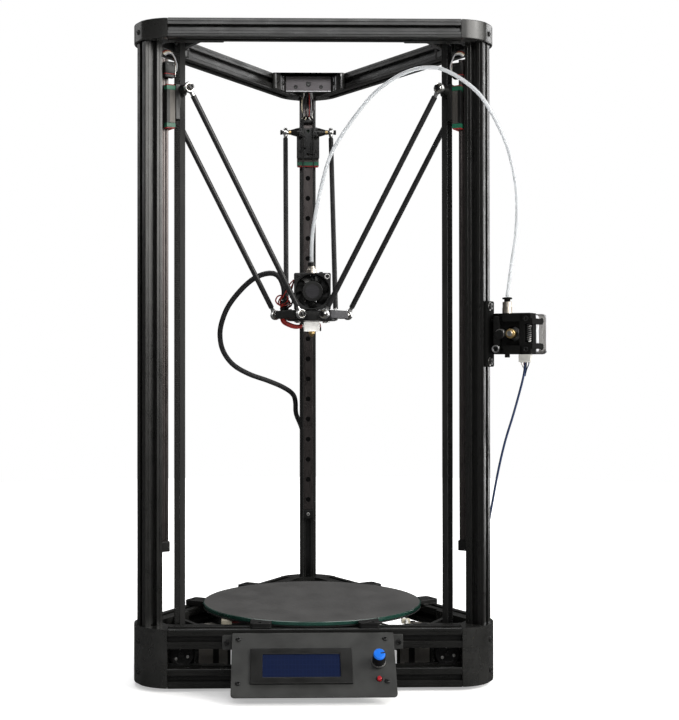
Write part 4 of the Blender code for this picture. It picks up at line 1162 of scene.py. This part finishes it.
def build_fan():
    back = (shifted(0, FAN_BACK, FAN_HEIGHT), AHEAD)
    frame_piece = Piece("fan_frame_housing", AXIS, "head")
    corners = [(-16, -16), (16, -16), (16, 16), (-16, 16)]
    outline = rectangle((-20, 20), (-20, 20), 1.6)
    opening = circle(18.6, 64)
    screws = [circle(1.8, 16, corner) for corner in corners]
    frame_piece.add(prism(outline, 0, 10, 0.5, [opening, *screws]), "black", *back)
    frame_piece.add(prism(circle(9, 32), 0, 1.5, 0.3), "black", *back)
    for turn in (90, 210, 330):
        frame_piece.add(slab((0, 19), (-1.2, 1.2), (0, 1.4), 0.3), "black", *back, spun("Z", turn))
    for x in (-19, 17):
        frame_piece.add(slab((x, x + 2), (FAN_BACK - 0.4, 9), (388.3, 425.2), 0.5), "black")
        for z in (394, 401, 408, 415):  # painted shade: near-black strips stand in for the slits where the air leaves
            frame_piece.add(slab((x - 0.04, x + 2.04), (-14, 4), (z, z + 2.2), 0.2), "painted_shade")
    # the duct behind the rotor, with its narrow slots, and the two clips on top; black and nearly closed, the
    # duct is also painted shade that hides the heat sink in darkness
    slots = [rectangle((x, x + 1.6), (-12, 12), 0.5) for x in (-8.8, -4.8, -0.8, 3.2, 7.2)]
    duct = rectangle((-18.5, 18.5), (-18.5, 18.5), 1)
    frame_piece.add(prism(duct, -1.3, -0.1, 0.1, slots, steps=1), "black", *back)
    for x in (-9.5, 9.5):
        frame_piece.add(slab(around(x, 2), (17.5, 21.2), (1, 8), 0.6), "black", *back)
    for number, (x, y) in enumerate(corners):
        # painted highlight: the rim under one corner's screw is bright steel and the others black, standing
        # in for the glint on that screw
        look = "steel" if number == 2 else "black_steel"
        frame_piece.add(socket_screw(2.2, 0.6, 1.25, 0.5), "black_steel", *back, shifted(x, y, 9.7))
        rim = lathe([(1.9, 9.8), (3.0, 9.8, 0.1), (3.0, 10.5, 0.2), (1.9, 10.5, 0.2)], 28)
        frame_piece.add(rim, look, *back, shifted(x, y, 0))
        frame_piece.add(nut(2.7, 2.2, 1.4), "steel", *back, shifted(x, y, -2.1))
    frame_piece.done("black_plastic", "fan_frame")

    rotor = Piece("fan_rotor_blades", AXIS, "fan_rotor")
    centre = (shifted(0, -24.8, FAN_HEIGHT), AHEAD)
    hub = [(0, -2.7), (11.4, -2.7, 0.3), (11.4, 4.6, 0.8), (0, 4.6)]
    rotor.add(lathe(hub, 48), "black_paint", *centre)
    rotor.add(disc(0, 7.6, 4.5, 4.7, 40, 0, 0.05), "dark_metal", *centre)
    section = ((-4.6, 0.18), (-1.5, 0.4), (1.5, 0.4), (4.6, 0.15), (1.5, -0.4), (-1.5, -0.4))
    for number in range(7):
        rings = []
        for step in range(7):  # each blade curves as it goes out and leans forward
            radius = 11 + 6.8 * step / 6
            pitch, lead = math.radians(34 - 8 * step / 6), 0.1 + 0.22 * (step / 6) ** 1.5
            ring = []
            for across, thick in section:
                flat = across * math.cos(pitch) - thick * math.sin(pitch)
                up = across * math.sin(pitch) + thick * math.cos(pitch)
                angle = flat / radius + lead
                ring.append((radius * math.cos(angle), radius * math.sin(angle), up * 0.98))
            rings.append(ring)
        rotor.add(loft(rings), "black_paint", *centre, spun("Z", 360 / 7 * number))
    rotor.done("black_plastic", "fan_rotor")


build_effector()
build_hotend()
build_fan()

# ---------------------------------------------------------------- bed and power supply


HOLDER_HALF, HOLDER_OUTER, RIM_RADIUS = 10.8, 124.8, 120.2


def build_bed():
    glass = Piece("bed_plate", AXIS)
    pane = [(0, 62), (119.6, 62), (120, 62.4, 0.3), (120, 65.5, 0.4), (119.2, 65.9, 0.2), (0, 65.9)]
    glass.add(lathe(pane, 160), "glass_edge")
    glass.add(lathe([(0, 65.7), (119.0, 65.7), (118.9, 66, 0.1), (0, 66)], 160), "plate")
    glass.done("build_plate", "bed_glass")

    heater = Piece("bed_heater_board", AXIS)
    heater.add(prism(circle(120, 160), 60.4, 61.7, 0.2, steps=1), "board_black")
    for number in range(14):  # its copper track, seen from below through the open base
        angle = math.radians(number * 360 / 14)
        ends = [(r * math.cos(angle), r * math.sin(angle), 60.35) for r in (22, 112)]
        heater.add(rod(0.5, *ends, 0.1, 6), "board")
    for angle in SIDES.values():
        for x in (-55, 55):
            left, right = around(x, HOLDER_HALF)
            screw = (x + math.copysign(2.4, x), 120.2)
            # the plate's edge is cut out of the holder's inner side
            away = math.degrees(math.atan2(114, x))
            rim = [math.radians(away + off) for off in (4.4, 2.2, 0, -2.2, -4.4)]
            rim = [(RIM_RADIUS * math.cos(a), RIM_RADIUS * math.sin(a), 0) for a in rim]
            low_left, low_right = (math.sqrt(RIM_RADIUS**2 - end**2) for end in (left, right))
            upper = [(right, low_right, 0), (right, HOLDER_OUTER, 3), (left, HOLDER_OUTER, 3),
                     (left, low_left, 0)]
            upper += [point for point in rim if left < point[0] < right]
            lower = rectangle((left, right), (103.2, HOLDER_OUTER), 3, 5)
            turn = spun("Z", angle - 90)
            heater.add(prism(lower, 60.3, 61.8, 0.3), "black", turn)
            heater.add(prism(rounded(upper, 5), 61.6, 65.8, 0.5, [circle(2.9, 24, screw)]), "black", turn)
            # painted shade: the screw heads down in the holders' holes are near-black and barely reflecting,
            # standing in for the shade there
            heater.add(socket_screw(2.7, 1.0, 1.2, 0.9), "painted_shade", turn, shifted(*screw, 61.7))
    heater.done("heater_board", "bed_heater")


def build_supply():
    case = Piece("power_supply_case", AXIS)
    slots = []
    for column in range(11):
        for row in range(5):
            x, y = -52 + column * 9.4, -28 + row * 12
            slots.append(rectangle((x, x + 6), (y, y + 3), 1.4))
    outline = rectangle((-72, 72), (-44, 44), 1.2)
    case.add(prism(outline, 51.8, 53, 0.3, slots, steps=1), "block_steel")
    # painted shade: a near-black block fills the case, standing in for the shade inside it seen through the
    # slots
    case.add(prism(rectangle((-71, 71), (-43, 43)), 24.3, 51.2), "painted_shade")
    case.add(prism(outline, 23, 24.4, 0.3, steps=1), "block_steel")
    for x in (-71.4, 71.4):
        case.add(slab(around(x, 0.6), (-44, 44), (24, 52), 0.2), "block_steel")
        # painted shade: near-black strips on each end wall stand in for its vents
        for y in range(-32, 33, 8):
            case.add(slab(around(x, 0.65), around(y, 1.4), (30, 46), 0.2), "painted_shade")
    for y in (-43.4, 43.4):
        case.add(slab((-72, 72), around(y, 0.6), (24, 52), 0.2), "block_steel")
    for x in range(-60, 61, 12):  # terminals on the front edge
        case.add(slab(around(x, 4.4), (-43.9, -36), (45, 52.4), 0.4), "black")
        case.add(button_screw(2.4, 0.9, 1.0), "steel", shifted(x, -40, 52.1))
    for reach, y in ((133, -10), (112, 28)):
        case.add(slab((-reach, reach), around(y, 8), (20.35, 23.4), 0.6), "bracket_metal")
        for x in (-reach + 7, -66, 66, reach - 7):
            case.add(button_screw(2.5, 0.05, 1.2), "steel", shifted(x, y, 23.35))
    case.done("supply_case", "power_supply")


build_bed()
build_supply()

# ---------------------------------------------------------------- filament drive

DRIVE_Y, DRIVE_Z, LEVER_Y, LEVER_Z = 233.5, 359, 217, 343.4
# a shape drawn as (y, z) and made along X
ACROSS = Matrix(((0, 0, 1, 0), (1, 0, 0, 0), (0, 1, 0, 0), (0, 0, 0, 1)))


def build_filament_drive():
    place = TOWER["b"]
    low, high, inner, outer = 337.85, 380.15, 212.35, 254.65
    body = Piece("extruder_housing", place)
    space = circle(7.6, 48, (DRIVE_Y, DRIVE_Z))
    body.add(prism(rectangle((inner, outer), (low, high), 1.5), -10, -3, 0.5, [space]), "matt", ACROSS)
    flat = rectangle((208.3, outer), (low + 0.2, high - 0.2))
    body.add(prism(flat, -13, -9.5, 0.4, [space]), "matt", ACROSS)
    right = [(243, low, 0), (outer, low, 1.5), (outer, 350, 1), (248, 350, 1), (248, 369, 1), (outer, 369, 1),
             (outer, high, 1.5), (243, high, 0), (242.2, 366, 1), (242.2, 352, 1)]
    body.add(prism(rounded(right), -3.5, 4, 0.7), "matt", ACROSS)
    body.add(prism(rectangle((224, 246), (371.5, high), 1.2), -3.5, 4, 0.7), "matt", ACROSS)
    body.add(prism(rectangle((225, 246), (low, 347), 1.2), -3.5, 4, 0.7), "matt", ACROSS)
    for z in (347, 373):  # ribs down the housing's outer wall
        body.add(slab((-2.5, 4.3), (outer - 9, outer - 1.2), around(z, 1), 0.4), "matt")
    flange = rectangle((-13, 9), (325, 393), 2.5)
    holes = [circle(2.3, 20, (0, z)) for z in (330.5, 387.5)]
    body.add(prism(flange, 0, 3, 0.5, holes), "matt", shifted(0, 209.3, 0), AHEAD)
    for z in (330.5, 387.5):
        body.add(socket_screw(3.6, 2.6, 1.5, 1.4), "black_steel", shifted(0, 209.2, z), BEHIND)
        body.add(disc(2.0, 4.2, 0, 0.6, 28, 0.1, 0.1), "steel", shifted(0, 209.2, z), BEHIND)
    for z in (low + 6, high - 9):  # gussets between the flange and the housing
        body.add(slab((-12.8, -3.2), (209, 214), (z, z + 3), 0.4), "matt")
    # two hooked arms that reach back along the motor and hold it
    for z, way in ((high - 8.5, 1), (low + 8.5, -1)):
        reach = [(-3, z - 3, 1), (-31, z - 3, 2.5), (-31, z + 3 + way, 2.5), (-24, z + 3, 1), (-3, z + 3, 1)]
        body.add(prism(rounded(reach), 0, 1.5, 0.4), "matt", shifted(0, outer + 1.8, 0), AHEAD)
        pin = z + way * 0.6
        body.add(rod(3.2, (-28.5, outer - 0.1, pin), (-28.5, outer + 1.9, pin), 0.4, 24), "matt")
        body.add(slab((-5, 3.6), (outer - 1, outer + 1.8), around(z, 3), 0.6), "matt")
    # tube fitting: hexagon, collar and release ring
    at = shifted(0.5, 228.5, 0)
    body.add(stack((hexagon(4.8), 380), (hexagon(4.8), 385.6), (hexagon(4.4), 386)), "nickel", at)
    collar = [(0, 385.9), (4.8, 385.9, 0.3), (4.8, 391.6, 0.5), (3.0, 392), (0, 392)]
    body.add(lathe(collar, 32), "nickel", at)
    release = [(2.1, 391.8), (3.1, 391.8), (3.1, 394.2, 0.2), (5, 394.4, 0.2)]
    release += [(5, 396, 0.3), (3.1, 396.4, 0.2), (2.1, 396.4)]
    body.add(lathe(release, 32), "matt", at)
    for y, z in ((LEVER_Y, 374.3), (249.5, 374.5), (249.5, 343.2)):
        x = 4 if y > 230 else -3
        body.add(socket_screw(2.75, 0.9, 1.25, 0.8), "black_steel", shifted(x - 0.2, y, z), ALONG_X)
    # the spring on its screw, and the guide that the filament comes in by
    spring = []
    for step in range(97):
        angle = step / 12 * 2 * math.pi
        spring.append((0.5 + 2 * math.cos(angle), 251.8 + 2 * math.sin(angle), 351 + step * 0.18))
    body.add(tube(spring, 0.45, 6), "steel")
    body.add(rod(1.1, (0.5, 251.8, 349), (0.5, 251.8, 370), 0.2), "black_steel")
    body.add(disc(1.2, 2.6, 334.6, 338.2, 24, 0.3), "matt", shifted(0.5, 228.5, 0))
    body.done("black_plastic", "extruder_body")

    lever = Piece("extruder_lever_arm", place, "extruder_lever")
    hinge = shifted(0, LEVER_Y, LEVER_Z)
    arm = rounded([(-2.6, -2, 1.2), (4.2, -3.6, 1.5), (4.3, 26, 1.5), (3, 33.4, 1.2), (-2.6, 33.4, 1.2)])
    lever.add(prism(arm, -2.6, 3.6, 0.6), "black", hinge, ACROSS)
    lever.add(disc(0, 4.5, -2.7, 3.7, 36, 0.4, 0.5), "black", hinge, ALONG_X)
    edge = [(2.6, 3.6), (4.1, 3.6, 0.2), (4.1, 4.5, 0.3), (2.6, 4.5, 0.2)]
    lever.add(lathe(edge, 36), "chrome", hinge, ALONG_X)
    lever.add(socket_screw(2.7, 0.7, 1.4, 0.6), "black_steel", hinge, shifted(3.6, 0, 0), ALONG_X)
    race = hinge @ shifted(0, 4.7, 15.6)
    races = (3.9, 5.0, 0, "steel"), (1.5, 2.7, 0, "steel"), (2.6, 4.0, 0.5, "black_steel")
    for r0, r1, back, look in races:
        low_x, high_x = -2.2 + back, 4.4 - back
        ring = [(r0, low_x), (r1, low_x, 0.1), (r1, high_x, 0.2), (r0, high_x, 0.1)]
        lever.add(lathe(ring, 40), look, race, ALONG_X)
    cover = lathe([(0, 4.2), (4.7, 4.2, 0.2), (4.5, 4.9, 0.3), (0, 4.9)], 32)
    lever.add(cover, "black", race, shifted(0, -0.7, -0.9), ALONG_X)
    lever.done("black_plastic", "extruder_lever")

    gear = Piece("drive_gear_wheel", place, "drive_gear")
    at = (shifted(0, DRIVE_Y, DRIVE_Z), ALONG_X)
    gear.add(prism(toothed(112, 5.0, 4.55), 1, 4.2, 0, [circle(2.45, 32)]), "brass", *at)
    gear.add(disc(2.45, 4.6, -2, 1.1, 40, 0.3, 0.2), "brass", *at)
    gear.add(lathe([(2.45, 4.1), (5, 4.1), (5, 6.2, 0.7), (2.45, 6.3, 0.2)], 40), "brass", *at)
    gear.add(lathe([(2.4, 6.2), (3.1, 6.2), (3.0, 8, 0.5), (2.4, 8.1, 0.2)], 32), "nickel", *at)
    shaft = [(2.5 * math.cos(a), 2.5 * math.sin(a)) for a in (math.radians(20 + i * 10) for i in range(33))]
    gear.add(prism(shaft, -12.6, 8, 0.3), "steel", *at)
    gear.add(rod(1.3, (0, 4.2, -0.4), (0, 4.9, -0.4), 0.1, 12), "black_steel", *at)
    gear.done("brass", "drive_gear")

    motor = Piece("extruder_motor_body", place)
    bands = (9, "cast_alloy"), (22, "winding_across"), (5, "cast_alloy")
    motor_shape(motor, bands, shifted(-13.3, DRIVE_Y, DRIVE_Z), ALONG_X)
    motor.add(slab((-46.5, -38.5), (DRIVE_Y - 7, DRIVE_Y + 6), (329.6, 338.8), 0.6), "white")
    x = -42.5  # the plug's middle
    for number, colour in enumerate(("white", "red", "dark", "blue")):
        y = DRIVE_Y - 4.8 + number * 2.6
        # painted shade: a near-black strip under each wire stands in for the shade in the plug's opening
        motor.add(slab((-45.2, -39.8), around(y, 0.8), (329.4, 331), 0.15), "painted_shade")
        route = [(x, y, 330.5), (x, y, 327.5), (x, DRIVE_Y - 2 + number * 0.9, 322)]
        route += [(x - 0.4 * number, DRIVE_Y - 3 + number * 0.5, 315)]
        motor.add(tube(evenly(route, 12), 0.62, 8), f"wire_{colour}")
    motor.done("motor_steel", "extruder_motor")


build_filament_drive()

# ---------------------------------------------------------------- control panel

KNOB_X, KNOB_Y, BUTTON_Y, DISPLAY_X, DISPLAY_Y = 64.5, -35.7, -53.3, -12, -39
PLATE_HALF, BEZEL_HALF, EAR_X = 81.5, 50.5, 87


def build_panel():
    plate = Piece("control_panel_plate", PANEL)
    low, high = around(DISPLAY_X, BEZEL_HALF)
    corners = [(-PLATE_HALF, -73, 3.5), (PLATE_HALF, -73, 3.5), (PLATE_HALF, 0, 1.5), (-PLATE_HALF, 0, 1.5)]
    window = rectangle((low + 0.4, high - 0.4), around(DISPLAY_Y, 19.6), 0.5)
    screws = [(-75, -7.5), (72.5, -7.5), (-74.5, -57.5), (72, -56)]
    holes = [window, circle(4.3, 32, (KNOB_X, KNOB_Y)), circle(3.0, 24, (KNOB_X, BUTTON_Y))]
    plate.add(prism(rounded(corners, 5), -2, 0, 0.5, holes), "panel")
    # its folded top edge
    plate.add(slab((-PLATE_HALF, PLATE_HALF), (-2.2, -0.1), (-9.5, -0.4), 0.8), "panel")
    for x, y in screws:
        plate.add(button_screw(2.7, 1.5, 1.1), "black_steel", shifted(x, y, -0.2))
        plate.add(nut(2.6, 2.2, 1.4), "steel", shifted(x, y, -4.1))
    # gussets and ears, upright on the front beam
    back = PANEL_TOP[1] + BEAM_RADIUS + 10.3
    upright = spun("X", PANEL_TILT - 90)
    for side in (-1, 1):
        gusset = rounded([(-back, -2.2, 0.8), (-back, -17, 0.8), (-30, -31.5, 2), (-1.6, -3.1, 0.8)], 3)
        plate.add(prism(gusset, *sorted((side * 79.6, side * 81.4)), 0.3), "panel", upright, ACROSS)
        ear = rectangle(sorted((side * 79.6, side * 91.5)), (-17, -2), 1.5)
        hole = circle(1.7, 16, (side * EAR_X, -10))
        plate.add(prism(ear, 0, 2, 0.4, [hole]), "panel", upright, shifted(0, -back, 0), AHEAD)
        at = upright, shifted(side * EAR_X, -back - 1.9, -10), AHEAD
        plate.add(socket_screw(2.7, 2.4, 1.3, 1.4), "black_steel", *at)
    plate.done("panel_metal", "control_panel")

    screen = Piece("display_module", PANEL)
    opening = rectangle(around(DISPLAY_X, 38.5), around(DISPLAY_Y, 13), 0.6)
    edge = rectangle((low, high), around(DISPLAY_Y, 20), 0.6)
    screen.add(prism(edge, -0.9, 2.4, 0.5, [opening]), "black_paint")
    screen.add(slab(around(DISPLAY_X, 38.8), around(DISPLAY_Y, 13.3), (-4, 1.2), 0.2), "display")
    for x in (-44, -22, 0, 22, 44):  # the folded tabs that hold the bezel
        for y in (-19.3, 19.3):
            tab = slab(around(DISPLAY_X + x, 1.6), around(DISPLAY_Y + y, 0.5), (-10, -0.5), 0.2)
            screen.add(tab, "black_paint")
    board_holes = [circle(1.6, 16, (x, y)) for x in (low + 3, high - 3) for y in (-64.2, -16.2)]
    outline = rectangle((low, high), (-67.6, -13), 0.8)
    screen.add(prism(outline, -10, -8.4, 0.1, board_holes, steps=1), "board")
    screen.add(prism(rectangle((high - 1, 76), (-62, -13), 0.8), -9.9, -8.5, 0.1, steps=1), "board")
    for x, y in ((low + 4, -17), (low + 4, -64), (high - 4, -64), (72, -17)):
        screen.add(disc(0, 2.9, -8.6, -1.8, 20, 0.2, 0.2), "steel", shifted(x, y, 0))
        screen.add(button_screw(2.4, 0.02, 1.0), "steel", shifted(x, y, -10.02), spun("X", 180))
    # parts on the boards
    for number in range(16):
        x = low + 12 + 2.54 * number
        screen.add(rod(0.35, (x, -65.5, -10), (x, -65.5, -7.4), 0.05, 8), "nickel")
    for x, y, wide, high, z in ((-40, -30, 12, 8, -9.99), (0, -35, 14, 14, -9.99), (20, -50, 8, 5, -9.98)):
        screen.add(slab(around(x, wide / 2), around(y, high / 2), (z, -9.2), 0.01, 1), "black")
    screen.add(slab(around(KNOB_X, 6.2), around(KNOB_Y, 6.5), (-8.6, -3.4), 0.6), "steel")
    screen.add(disc(3.15, 4.1, -4, -2.2), "steel", shifted(KNOB_X, KNOB_Y, 0))
    screen.add(slab(around(KNOB_X, 3.1), around(BUTTON_Y, 3.1), (-8.5, -4.6), 0.3), "black")
    screen.add(rod(5.9, (50, -50, -8.5), (50, -50, -2.4), 0.4, 32), "black")
    screen.done("panel_metal")

    dial = Piece("encoder_shaft_pin", PANEL, "encoder_shaft")
    at = shifted(KNOB_X, KNOB_Y, 0)
    dial.add(rod(3, (0, 0, -7.4), (0, 0, 10), 0.3, 32), "steel", at)
    dial.done("shaft_steel", "encoder_shaft")
    knob = Piece("knob_cap", PANEL, "knob")
    skirt = [(3.5, 2), (7, 2, 0.4), (6.95, 4.0, 0.3), (6.6, 4.4, 0.1), (3.5, 4.4)]
    knob.add(lathe(skirt, 48), "steel", at)
    grip = ((4.3, 6.7), (9.4, 6.5), (14.6, 6.2), (15.2, 5.9))
    knob.add(stack(*((toothed(72, r, r - 0.22, 3, (0,)), z) for z, r in grip)), "black", at)
    cap = [(0, 15), (5.9, 15), (5.75, 17.2, 0.4), (5.2, 17.95, 0.6), (0, 18)]
    knob.add(lathe(cap, 48), "blue", at)
    knob.add(slab((-0.7, 0.7), (1.2, 5.95), (16.4, 18.05), 0.2), "black", at, spun("Z", -80))
    knob.done("knob_blue", "knob")
    button = Piece("reset_button_cap", PANEL, "reset_button")
    stem = [(0, -7.9), (2.0, -7.9, 0.2), (2.3, -6, 0.2), (2.3, 2.2, 0.6), (0, 2.25)]
    button.add(lathe(stem, 28), "red", shifted(KNOB_X, BUTTON_Y, 0))
    button.done("button_red", "reset_button")


build_panel()

# ---------------------------------------------------------------- tubes, loom and wires

BOWDEN_ROUTE = [
    (0, 0, 440.5), (0.3, -1, 464), (3, -7, 487), (10.5, -18, 524), (20, -30, 555), (36, -46, 581),
    (60, -68, 610), (81, -86, 625), (100, -101, 632), (115, -111, 633), (129.5, -119, 630),
    (149, -127, 618), (168, -132, 600), (183, -134, 574.5), (196, -134, 544), (204.5, -131.5, 504),
    (205, -127, 464), (201.5, -119.5, 430), (197.8, -114.8, 396.8),
]
LOOM_ROUTE = [
    (-31, 5, 398.5), (-31, 6, 412), (-37, 9.5, 425.5), (-48, 15, 429), (-64, 25, 424),
    (-80, 38, 411), (-95, 53, 392.5), (-103.5, 68, 372), (-105, 83, 355), (-101, 98, 339.5),
    (-90, 114, 325), (-71.5, 131, 314), (-50, 149, 306), (-31, 166, 297.5), (-19, 182, 288.5),
    (-15.5, 196, 278), (-14.5, 208, 263), (-7.5, 213.5, 245), (-1.5, 211.8, 220), (0, 210, 190),
    (0, 210, 140), (0, 210, 95), (0, 210, 60.4),
]
LEAD_ROUTE = [
    (223, -79.5, 329.2), (221, -80, 316), (217, -81, 300.5), (209.5, -82, 274.5),
    (201, -83.5, 248), (193.7, -85, 219), (187, -86.5, 185.5), (182.5, -87.6, 160),
    (180.3, -88.2, 130), (180, -88.3, 95), (180, -88.3, 60.4),
]


def cord(name, slot, route, radius, look, count, sides, bends=None):
    """A cord's swept surface. One that joins the frame to the head has no body, and its transform is baked
    into its mesh.
    """
    points = evenly(route, count)
    piece = Piece(name, AXIS, None if bends else "frame").add(tube(points, radius, sides), look)
    made = piece.done(slot, name.rsplit("_", 1)[0], weighted=False)
    if bends:
        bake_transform(made)


def end_stop(piece, side):
    """The switch above a carriage, with its lever and the leads that loop over it."""
    at = shifted(side * 10.5, 0, 0)
    piece.add(slab((-3.3, 3.3), (173.5, 184.8), (628, 640.4), 0.5), "black", at)
    for y in (175.6, 182.4):
        piece.add(rod(1.2, (side * 7, y, 637.5), (side * 14.2, y, 637.5), 0.2, 14), "black_steel")
    piece.add(slab((-2.9, 2.9), (174.2, 184.6), (623.9, 627.4), 0.5), "black", at)
    piece.add(slab((-2.6, 2.6), (172.9, 173.3), (625.4, 637), 0.1), "steel", at)
    piece.add(slab((-3.1, 3.1), (173.9, 184.7), (627.3, 628.1), 0.2), "red_seal", at)
    for number, look in enumerate(("wire_red", "wire_cream", "wire_white", "wire_grey")):
        x, drop = side * (8 + number * 1.9), number * 1.3
        route = [(x, 185.5, 650 - drop), (x, 181, 652.6 - drop), (x, 176, 651.6 - drop)]
        route += [(x, 171.6 + drop * 0.3, 645 - drop), (x, 170.4 + drop * 0.3, 637), (x, 172.2, 631)]
        piece.add(tube(evenly(route, 24), 0.62, 8), look)


def build_wiring():
    bends = (190, 0, 500), (5, 0, 500)
    cord("bowden_tube_clear", "clear_tube", BOWDEN_ROUTE, 2, "tube", 90, 16, bends)
    bends = (-20, 200, 280), (-31, 5, 398.5)
    cord("wire_loom_sleeve", "loom_sleeve", LOOM_ROUTE, 3, "loom", 110, 18, bends=bends)
    cord("extruder_lead_wire", "lead_wire", LEAD_ROUTE, 1.2, "wire_blue", 60, 12)
    for name, place in TOWER.items():
        piece = Piece(f"end_stop_{name}", place)
        if name == "c":  # in front of the rail, where its wires come down
            piece.add(slab((-8.6, 8.6), (171.6, 177.2), (625, 630.4), 0.8), "black")
            for x in (-5.5, 0.5, 6):
                piece.add(socket_screw(1.5, 0.8, 0.7, 0.6), "black_steel", shifted(x, 171.7, 627.2), AHEAD)
        else:
            end_stop(piece, 1 if name == "b" else -1)
        piece.done("black_plastic", weighted=False)
    # wires that come out of the back bracket over the rail's end
    back = Piece("back_tower_wires", TOWER["c"])
    wires = {-7.4: "cream", -5.8: "white", -2: "dark", 1.8: "red", 3.6: "grey", 5.4: "white", 7.2: "grey"}
    for number, (x, colour) in enumerate(wires.items()):
        bulge = 1 + 0.12 * (number % 3)
        route = [(x * 0.7, 171, 664), (x * bulge, 169.5, 652), (x * bulge, 171, 642), (x * 0.7, 173, 632.5)]
        back.add(tube(evenly(route, 14), 0.6, 8), f"wire_{colour}")
    for x, turn, look in ((-4.6, 28, "cream"), (3.9, -24, "white")):  # their connectors, a little askew
        at = shifted(x, 172, 631.6), spun("Y", turn)
        back.add(slab((-2.6, 2.6), (-2.2, 2.2), (-2, 2), 0.5), look, *at)
        # painted shade: a near-black block stands in for each connector's open mouth
        back.add(slab((-1.2, 1.2), (-2.4, 0), (-2.2, 2.2), 0.2), "painted_shade", *at)
    back.done("lead_wire", weighted=False)
    # the heater's lead under the plate and the small fan cable beside it
    under = Piece("bed_wires", AXIS)
    under.add(slab((-97, -86), (-80, -72), (55.5, 60.2), 0.6), "cream")
    for off, look in ((0, "wire_red"), (3, "wire_dark")):
        route = [(-87, -77 + off, 58), (-80, -76 + off, 57.6), (-60, -60, 58.6), (-45, -40 + off, 58.8)]
        under.add(tube(evenly(route, 20), 1.1, 8), look)
    route = [(60, -92, 58.5), (74, -98, 56), (88, -99, 55.5), (96, -92, 57.5), (97, -80, 59)]
    under.add(tube(evenly(route, 30), 1.5, 10), "wire_white")
    under.add(slab((92, 101), (-80, -73), (55.5, 60), 0.6), "cream")
    under.done("lead_wire", weighted=False)


build_wiring()
